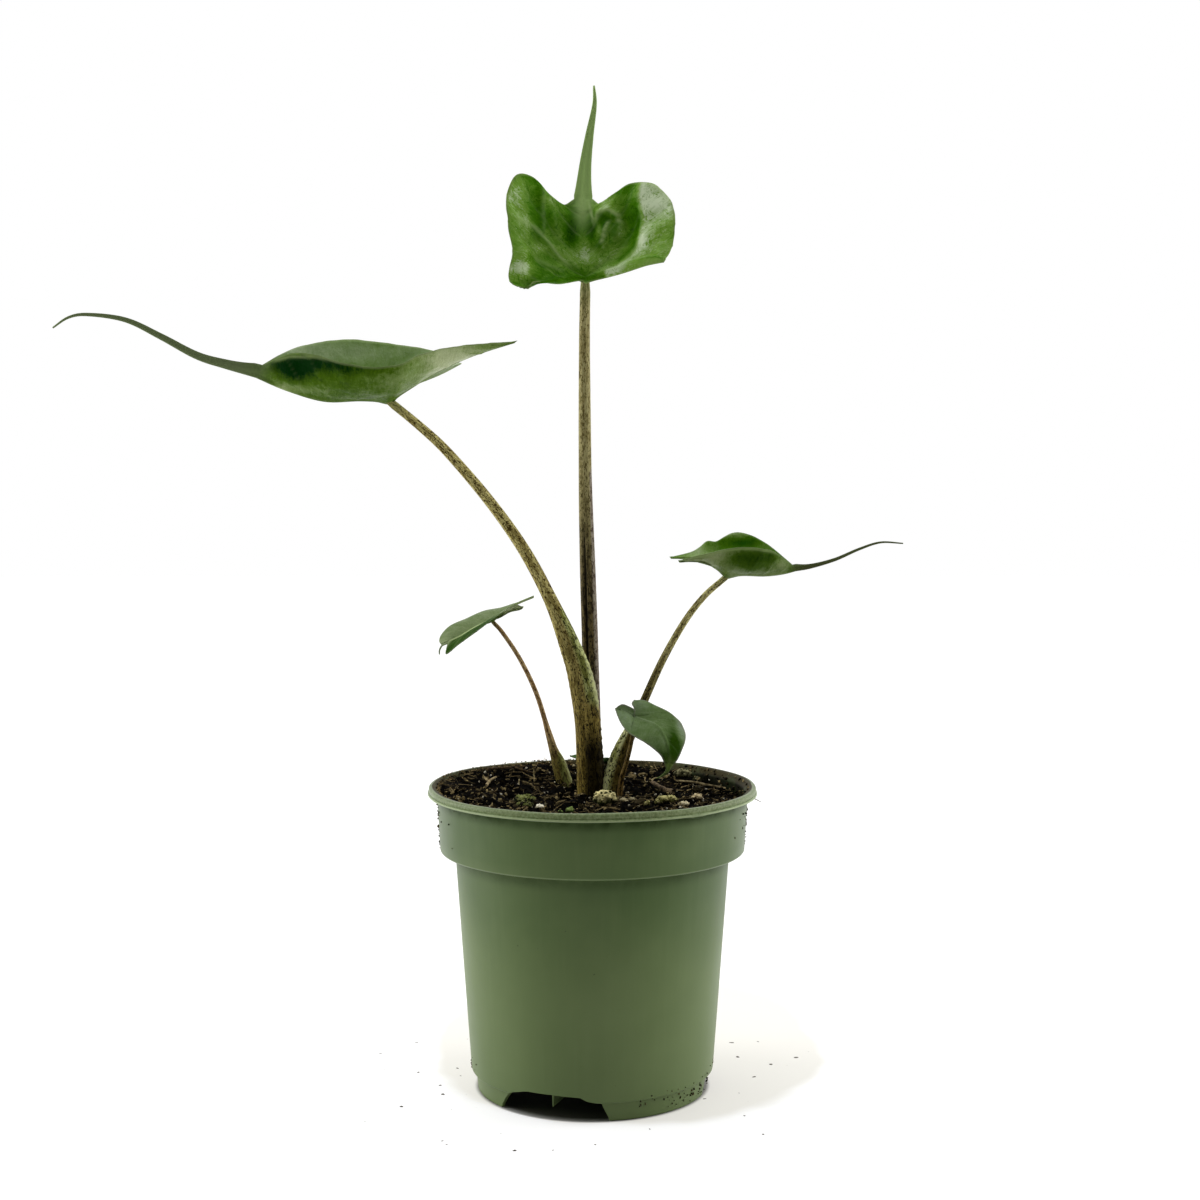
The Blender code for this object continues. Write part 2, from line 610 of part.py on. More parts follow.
def make_crumb(name, crumb):
    """A lumpy pebble, flattened where it lies on the soil."""
    bm = bmesh.new()
    bmesh.ops.create_icosphere(bm, subdivisions=2, radius=1.0)
    half = Vector(crumb["half"]) * MM
    for vertex in bm.verts:
        x, y, z = vertex.co
        lump = 1 + 0.14 * math.sin(5 * x + 3 * z) * math.cos(4 * y + 2 * x)
        vertex.co = Vector((x * half.x * lump, y * half.y * lump, max(z, -0.6) * half.z * lump))
    bmesh.ops.rotate(
        bm, cent=(0, 0, 0), matrix=Matrix.Rotation(math.radians(crumb["turn"]), 3, "Z"), verts=bm.verts
    )
    piece = add_part(name, mesh_of(bm, name), crumb["material"])
    x, y = (value * MM for value in crumb["at"])
    lowest = min(vertex.co.z for vertex in piece.data.vertices)
    around = [soil_height(x + dx * half.x, y + dy * half.y) for dx in (-1, 0, 1) for dy in (-1, 0, 1)]
    piece.location = (x, y, max(around) - lowest + GAP)


clear_scene()
PARTS = make_collection("potted_alocasia", hidden=False)
CUTTERS = make_collection("cutters", hidden=True)
MADE = {name: make_material(name) for name in MATERIALS}
make_pot()
make_soil()
for stem_name, stem_data in STEMS.items():
    make_stem(stem_name, stem_data)
for leaf_name, leaf_data in LEAVES.items():
    make_blade(leaf_name, leaf_data)
for crumb_name, crumb_data in CRUMBS.items():
    make_crumb(crumb_name, crumb_data)
for twig_name, twig_data in TWIGS.items():
    make_twig(twig_name, twig_data)
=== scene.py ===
"""The looks of the potted stingray alocasia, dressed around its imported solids.

Every length is in metres, or in millimetres where a name or a comment says so. +Z is up, and the pot's axis is
X = Y = 0.
"""

import math

import bmesh
import bpy
import numpy as np
from mathutils import Matrix, Vector, noise


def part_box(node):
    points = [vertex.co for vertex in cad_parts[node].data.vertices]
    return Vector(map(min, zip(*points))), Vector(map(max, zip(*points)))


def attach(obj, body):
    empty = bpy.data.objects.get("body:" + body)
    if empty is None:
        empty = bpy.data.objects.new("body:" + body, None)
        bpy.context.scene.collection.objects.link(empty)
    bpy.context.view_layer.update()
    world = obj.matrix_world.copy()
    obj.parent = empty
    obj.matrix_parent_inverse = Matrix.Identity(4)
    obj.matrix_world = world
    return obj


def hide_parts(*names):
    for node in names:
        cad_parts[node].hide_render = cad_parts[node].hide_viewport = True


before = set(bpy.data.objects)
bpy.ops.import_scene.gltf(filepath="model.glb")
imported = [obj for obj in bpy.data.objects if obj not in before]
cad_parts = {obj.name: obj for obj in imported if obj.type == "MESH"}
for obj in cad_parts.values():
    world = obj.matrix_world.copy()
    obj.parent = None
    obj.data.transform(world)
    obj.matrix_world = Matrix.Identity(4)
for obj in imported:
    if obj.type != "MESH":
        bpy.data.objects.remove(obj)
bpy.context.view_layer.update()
MM = 0.001

# The pot and the soil, in millimetres
POT_HEIGHT = 111.4
LIP_RADIUS = 60.0
COLLAR_RADIUS = 56.7
COLLAR_BOTTOM = 87.8
BODY_TOP_RADIUS = 50.2
BODY_BOTTOM_RADIUS = 44.5
FOOT_RADIUS = 42.5
FOOT_HEIGHT = 6.9
WALL = 1.2
FLOOR_TOP = 10.4
HUB_RADIUS = 8.0
FOOT_COUNT = 3
NOTCH_MIDDLE = math.radians(-20.0)  # from -Y towards +X
# Each level of the gap between two feet: height, and where it starts and ends in degrees from its middle
NOTCH_LEVELS = [(-1.0, -30.0, 28.8), (1.5, -28.7, 27.8), (4.0, -26.3, 26.0), (6.3, -23.4, 24.6), (7.0, -21.0, 22.4),
                (7.8, -19.2, 17.6), (9.0, -13.0, 14.9), (9.4, -10.0, 2.0)]
NOTCH_STEPS = 13
TAB_SIDE = math.radians(37.0)
DRAIN_RADIUS = 4.0
DRAIN_RING = 27.0
POT_SIDES = 180
SHARP_EDGE = math.radians(50)
SOIL_TOP = 105.5
SOIL_HEAP = 5.4
SOIL_HEAP_SIDE = math.radians(138.0)
SOIL_WAVE = 0.5
SOIL_RINGS, SOIL_SIDES = 104, 300
SOIL_LIMIT = POT_HEIGHT - 0.8
# Lines along which the pot is painted pale, as wear with a painted highlight along the lip's and collar's lower
# edges: radius, height, reach, and how much
WEAR_AND_HIGHLIGHT_LINES = [(LIP_RADIUS + 0.1, POT_HEIGHT - 2.6, 0.4, 0.9), (COLLAR_RADIUS - 1.2, COLLAR_BOTTOM + 0.4, 0.3, 0.35)]

# Leaves and stems: how finely each solid's rows are split, the solids' own rows, and lengths in mm
FINE = 6
COLUMNS = 26
FLAP_COLUMNS = 10
BLADE_ROWS = 14 * FINE
LOBE_ROWS = 6 * FINE
TAIL_ROWS = 9 * FINE
TAIL_TIP_WIDTH = 0.3
BLADE_THICK, BLADE_RAISED = 0.16, 0.12
STEM_STEP, STEM_SIDES = 0.7, 44

# Camera and light. The room's strength in front of the pot and behind it, and how far back it is full: as the room
# lights things, and as it is mirrored in them
CAMERA_PLACE = (0.00282, -0.69659, 0.23053)
CAMERA_TURN = (math.radians(85.763), 0, 0)
CAMERA_LENS, CAMERA_SENSOR, CAMERA_NEAR = 57.69, 36, 0.01
ROOM_START = -0.92
ROOM_LIGHT = (0.0, 1.22, 0.1)
ROOM_MIRRORED = (0.08, 1.0, -0.2)
MIRRORED_RAYS = ("Is Camera Ray", "Is Glossy Ray", "Is Transmission Ray")
LAMP_TARGET = (0, 0, 0.15)
LAMPS = {  # place, size and power in watts
    "overhead": ((-0.2, 0.2, 1.35), (0.7, 0.7), 3.5),
    "left_side": ((-1.0, 0.12, 0.34), (0.6, 0.8), 7.6),
    "right_side": ((1.0, 0.12, 0.34), (0.6, 0.8), 6.2),
}
FLOOR_HALF, FLOOR_DROP, FLOOR_LIFT = 3.0, 0.0002, 0.66

# Colours, as 0 to 255 sRGB
WHITE = (255, 255, 255)
# PAPER_SHADOW and FLOOR_SHADOW_UNDER_POT are painted shadow on the floor, round the pot and under it
PAPER_SEEN, PAPER, PAPER_SHADOW = (176, 176, 175), (204, 203, 201), (230, 225, 212)
FLOOR_DIRT, FLOOR_SHADOW_UNDER_POT = (60, 50, 40), (96, 98, 84)
# POT_UPPER_SHADED and POT_LOWER_LIT: the pot's green with painted light, darker above and paler towards the foot
POT_UPPER_SHADED = (64, 86, 38)
POT_LOWER_LIT = (92, 110, 64)
POT_PALE = (140, 156, 108)
# POT_SHADE_GRIME: painted shade under the lip and the collar, broken up by grime
POT_SHADE_GRIME = (18, 30, 4)
POT_SPECK = (38, 40, 20)
# POT_WEAR_HIGHLIGHT: wear with a painted highlight along the lip's and the collar's lower edges
POT_WEAR_HIGHLIGHT = (172, 186, 144)
POT_SOILED = (21, 21, 11)
POT_CRUST = (62, 56, 32)
# STEM_GROOVE_SHADE and STEM_SHADED_SIDE are painted shade
STEM_EDGE, STEM_GROOVE_SHADE, STEM_SHADED_SIDE, STEM_TIP = (206, 208, 164), (10, 6, 2), (4, 2, 1), (104, 116, 66)
# PEAT_HOLLOW_SHADE: painted shade in the soil's hollows
PEAT_DARK, PEAT, PEAT_PALE, PEAT_HOLLOW_SHADE = (1, 1, 0), (12, 7, 4), (52, 38, 22), (3, 2, 1)

# Heights in metres between which a shade or a sheen of the pot sets in; a pair of them where it also ends.
# BODY_LIGHT_FADE and LIP_BAND bound painted light, UNDER_LIP and UNDER_COLLAR painted shade with grime.
BODY_LIGHT_FADE = (0.088, 0.04)
LIP_BAND = (0.1085, 0.1092)
CRUST_BAND = (0.1086, 0.1104)
SHEEN_BAND = (0.084, 0.088)
UNDER_LIP = ((0.1035, 0.108), (0.10865, 0.1083))
UNDER_COLLAR = ((0.0815, 0.0865), (0.0874, 0.0868))

# Each leaf's points are in millimetres from where its blade meets its stem, +Y away from the front.
# midrib: from the stem to the start of the tail. tail: on to its tip. margin: from a side's back lobe round
# to the start of the tail. sinus: from the stem back out to that lobe. The first side is the left-hand one, seen
# from above with the tail ahead. cup: how far the blade sags below its ribs. lobe_arch: how far the back lobes'
# ribs arch up.
LEAVES = {
    "top_leaf": dict(
        stem_end=(-2.6, 10, 295.7), tail_width=5.4, flare=7.5, cup=4, lobe_arch=0.4,
        midrib=[(-0.5, 3, 6), (-1, 7, 16.5), (-1, 12.5, 30.5)],
        tail=[(0, 16, 43), (1.5, 17.5, 54), (3.4, 18.5, 65.5), (3.2, 18, 72.3)],
        sides=[
            dict(margin=[(-19.6, -13.5, -3.7), (-22.6, -15.2, -4.6), (-25.6, -15, -3.8), (-27.2, -14, -1.4),
                (-27.1, -13, 2.5), (-26.2, -11, 9.5), (-28.1, -8, 19), (-28.3, -3, 29.6), (-25.1, 1.6, 37.2),
                (-19.5, 6, 37.2), (-14, 9, 31.8), (-8.5, 11, 27.8), (-4.2, 12.3, 30)], sinus=[(-2.4, -1, -1),
                (-9.6, -5, -2.5), (-17.6, -11, -1.9)]),
            dict(margin=[(29.6, -16.2, 3.8), (31.8, -13.7, 7.5), (33, -11, 12.5), (33.6, -8, 18.1), (33.2, -5, 23.2),
                (32, -2.5, 27), (28.6, 0, 31.4), (25.4, 1, 34.1), (20.7, 2, 35.1), (16.3, 3, 34.5), (12, 5, 31.9),
                (8.7, 7, 29.8), (6, 9.2, 27.4), (2.6, 12.3, 30)], sinus=[(8, -4, -0.3), (20, -11, 2.2)]),
        ],
    ),
    "left_leaf": dict(
        stem_end=(-73, -2, 251.2), tail_width=5.6, cup=3, lobe_arch=2.6,
        midrib=[(-10.5, 0, 0.4), (-23, 0, 0.2), (-35.5, 0, 3.7), (-47.5, 0, 8.6)],
        tail=[(-58.5, -0.5, 11.7), (-69, -1, 15.2), (-81.5, -2, 22.1), (-93.5, -3, 28), (-106.5, -4, 30),
            (-113.3, -4.6, 29.1), (-119, -5, 25.5)],
        sides=[
            dict(margin=[(47, -14, 20), (34, -17, 19), (23, -20, 17.5), (13.5, -23, 15), (6.5, -25, 11.5),
                (-2, -25, 10.5), (-13, -22, 12), (-24, -17, 15.2), (-33.5, -11, 16), (-45, -2.5, 12.4)],
                sinus=[(11, -4, 6.4), (23.5, -8, 12.2), (36, -12, 18)]),
            dict(margin=[(25, 16, 13.5), (20, 19, 16.5), (13, 22, 19), (-2, 25, 21.5), (-18.5, 24, 23),
                (-32.5, 17, 20.5), (-40, 10, 17), (-46, 2.5, 12.5)], sinus=[(7, 4, 4.5), (17, 10, 9)]),
        ],
    ),
    "right_leaf": dict(
        stem_end=(50.1, 18, 186.9), tail_width=2.4, cup=2, lobe_arch=2.8,
        midrib=[(6.5, 0, 0.3), (14, 0, 0.1), (20.5, 0, 0.8), (25.5, 0, 2)],
        tail=[(31.5, 0, 3), (40.5, 1, 5.6), (49.5, 2, 9.5), (57.5, 3, 12), (66, 4, 11.7)],
        sides=[
            dict(margin=[(-21, 10, 6), (-11.5, 12, 8.5), (-7, 13, 12), (-3, 14, 12), (2.5, 15, 15), (7.5, 15, 15),
                (13.5, 13, 12.5), (18, 10, 9.5), (24.5, 1.8, 3.8)], sinus=[(-5.5, 4, 3), (-13.5, 8, 5)]),
            dict(margin=[(-18.5, -8, 5.5), (-10.5, -10, 8), (-2, -12, 10), (4.5, -13, 11), (11, -12.5, 10.5),
                (16, -10, 9.5), (20, -6, 7), (24.5, -1.6, 3.6)], sinus=[(-5, -3, 3), (-10.5, -6, 5)]),
        ],
    ),
    "small_left_leaf": dict(
        stem_end=(-38.6, 38, 168.4), tail_width=1.4, cup=-0.8, lobe_arch=1,
        midrib=[(-5.5, -0.5, -2.5), (-11.5, -1, -6), (-16, -1.5, -8)],
        tail=[(-18.6, -2, -9.4), (-19.8, -2.4, -11.2), (-20, -2.8, -13)],
        sides=[
            dict(margin=[(12.2, -4, 5.3), (8.6, -6.6, 6.2), (3, -8.8, 2.6), (-4.5, -10.5, -3), (-12, -9.5, -8.5),
                (-17, -7, -12.5), (-17, -2.6, -9.2)], sinus=[(3, -1.6, 0.9), (7, -3, 3.2), (11, -3.9, 4.2)]),
            dict(margin=[(16, 8, 8.5), (10.5, 10, 6), (3.5, 11.5, 4), (-4, 12, 2.5), (-10.5, 11, -0.3),
                (-16.5, 8, -2.8), (-19.6, 5, -5.8), (-20.4, 2, -8.2), (-19.4, 0, -9.6)], sinus=[(3, 2, 2),
                (8.5, 5, 5)]),
        ],
    ),
    "small_front_leaf": dict(
        stem_end=(15.1, -6, 136.9), tail_width=0.9, flare=3, cup=-0.8, lobe_arch=0.5,
        midrib=[(4, -3, -1), (7.5, -6.5, -2), (10, -9.5, -4.5), (12, -11.8, -9.5), (12.3, -12.3, -14.5)],
        tail=[(11.9, -12.3, -17), (11.1, -12.2, -18.4), (9.3, -12.1, -19.7), (7.9, -12, -20.4)],
        sides=[
            dict(margin=[(0, 4, 5.5), (3.5, 5, 5.5), (7.5, 4, 4), (13, 1, 1.5), (17, -2.5, -2), (18.5, -5.5, -6),
                (17.2, -9, -10.2), (15.6, -10.8, -13.4), (14.1, -11.6, -15.4)], sinus=[(0.5, 0.4, 1.4),
                (0.1, 1.2, 2.9), (-0.8, 2.8, 4.5)]),
            dict(margin=[(-7, -3, 3.5), (-5, -7, -1), (-2.5, -10, -4), (2, -12.5, -6.5), (6, -13.5, -9),
                (9.2, -13.3, -12), (10.6, -12.8, -15)], sinus=[(0.3, -0.2, 1.4), (0.3, -0.3, 2.7), (-1.8, -1.2, 4.1),
                (-4.4, -2.4, 5)]),
        ],
    ),
    "back_leaf": dict(
        stem_end=(-1, 41, 111.5), tail_width=1.6, cup=0.4, lobe_arch=0.6,
        midrib=[(1.5, 3, 1), (4, 6, 0.8), (7, 8.5, -0.5)],
        tail=[(8.5, 9.5, -1.2), (9.5, 10, -2)],
        sides=[
            dict(margin=[(-8, 4, 3.2), (-4, 8, 3.4), (1.5, 10.5, 2.4), (6.2, 9.8, 0.2)], sinus=[(-4, 2, 2)]),
            dict(margin=[(-1, -5, 2.6), (3.5, -3, 3.4), (8, 1, 2.8), (8.2, 7.6, 0.2)], sinus=[(-1, -2.5, 1.6)]),
        ],
    ),
}

# Each stem's points are in millimetres from its foot in the soil up; its radius is given at the foot, at the
# middle and at the blade. The first two points are its buried foot. points: where the list of points ends for the
# visible stem, if it leaves some out. root: from the blade's foot to the stem's tip inside it. high, low: ground,
# brown and flecks of its upper and lower part, and blend: the levels between which one turns into the other. flanks:
# the way each faces, the levels in mm where it starts, is full, is full still and ends, its width in mm, how narrow
# it is, and 1 if it has the sheath's colour. sheath_from: levels between which that colour sets in, and sheath_top:
# where it ends if not with the flank. sheath_shades: ground, mottle and flecks of that colour. groove: the way it
# faces, its lowest and highest level and its depth; it is painted near-black as shade. shaded_side: the side that
# lies in the dark and is painted dark as shade, from which turn on, and the levels between which that ends.
# STEM_BASE holds what most stems share.
STEM_BASE = dict(sheath_from=(90, 91), sheath_shades=((150, 156, 100), (92, 92, 40), (40, 42, 8)), edge_pale=0)
STEMS = {
    "top_stem": dict(
        path=[(0, 20.5, 96), (0, 20.5, 108), (0, 20.5, 121), (-1.1, 19, 160), (-2.4, 15.5, 210), (-2.9, 11.5, 266),
            (-2.6, 10.2, 293.9)],
        radii=(3.1, 2.7, 1.9), root=(0, 2.6, -0.8), points=-1, high=((164, 156, 108), (132, 122, 76), (88, 78, 38)),
        low=((98, 86, 54), (36, 28, 12), (2, 0, 0)), blend=(172, 246), groove=((-0.35, -1, 0), 118, 212, 1),
        flanks=[((1, -0.3, 0), 90, 91, 190, 230, 0.45, 6, 1)],
        sheath_shades=((136, 128, 112), (104, 92, 76), (60, 46, 34)), shaded_side=((1, -0.2, 0), 0.1, 0.5, 124, 134),
    ),
    "left_stem": dict(
        path=[(-2.2, 13.3, 96), (-2.2, 13.3, 108), (-2.5, 13.3, 121), (-4.4, 13, 146), (-8.5, 12, 161.5),
            (-16, 10.5, 179.5), (-25.2, 8.5, 197), (-37.5, 6, 214.7), (-52.3, 2.5, 232.3), (-62.1, 0, 241.7),
            (-71.6, -1.8, 249.6)],
        radii=(3.6, 2.5, 1.5), root=(-1, 0, 0.3), high=((182, 172, 110), (122, 108, 54), (54, 38, 0)),
        low=((140, 122, 60), (72, 58, 14), (6, 2, 0)), blend=(118, 192),
        flanks=[((1, -0.35, 0), 95, 96, 134, 184, 3.2, 2.4, 1), ((-1, 0, -0.25), 128, 150, 158, 182, 1.2, 1.5, 0)],
        sheath_from=(134, 146), sheath_top=178, sheath_shades=((176, 182, 116), (100, 102, 36), (26, 26, 0)),
        edge_pale=0.7, shaded_side=((1, -0.25, 0), 0, 0.35, 122, 134),
    ),
    "right_stem": dict(
        path=[(5.2, 12.8, 96), (8, 13, 108), (11.2, 13.3, 120.8), (15.5, 14, 131.2), (20.5, 15, 143.1),
            (26.5, 16, 156), (34.3, 17, 169.6), (41.5, 17.6, 178.9), (48.6, 18, 185.2)],
        radii=(3.2, 1.5, 1.1), root=(0.9, 0, 0.3), high=((184, 178, 120), (130, 118, 66), (54, 44, 16)),
        low=((96, 84, 38), (56, 44, 16), (14, 8, 2)), blend=(128, 176),
        flanks=[((-1, -0.2, 0.3), 95, 96, 104, 142, 2.3, 2.2, 1)],
        sheath_shades=((232, 234, 170), (178, 182, 98), (36, 36, 0)), edge_pale=0.4,
        shaded_side=((1, -0.25, -0.2), 0.3, 0.75, 124, 136),
    ),
    "small_left_stem": dict(
        path=[(-8.6, 28.6, 96), (-11.8, 29.2, 108), (-13.6, 29.6, 114.5), (-16.6, 31, 125), (-21.4, 33, 140.5),
            (-27.8, 35, 153.7), (-34.5, 37, 163.6), (-37.6, 37.8, 167)],
        radii=(2.5, 0.95, 0.8), root=(-0.4, 0, 0.4), high=((172, 148, 104), (132, 104, 66), (84, 58, 32)),
        low=((108, 98, 46), (74, 62, 22), (30, 22, 6)), blend=(114, 128),
        flanks=[((1, -0.3, 0), 95, 96, 113, 121, 1.7, 1.6, 1)],
        sheath_shades=((128, 134, 74), (98, 96, 44), (56, 50, 18)), edge_pale=0.5,
    ),
    "small_front_stem": dict(
        path=[(9.4, 7.4, 96), (10.3, 6.6, 108), (10.9, 5.6, 112.8), (12.7, 2.6, 119.7), (14.3, -1.6, 127.5),
            (15, -5, 134.9)],
        radii=(1.2, 0.9, 0.7), root=(0, -0.3, 0.6), high=((112, 96, 54), (80, 66, 34), (40, 30, 14)),
        low=((100, 80, 40), (64, 48, 22), (26, 16, 6)), blend=(108, 128),
    ),
    "back_stem": dict(
        path=[(2.2, 28, 96), (1, 34, 107.6), (0.2, 37.4, 109.6), (-0.6, 40, 110.3)],
        radii=(1.3, 1, 0.6), root=(0, 0, 0.3), high=((104, 112, 62), (84, 92, 48), (64, 60, 34)),
        low=((104, 112, 62), (84, 92, 48), (64, 60, 34)), blend=(90, 120),
    ),
}
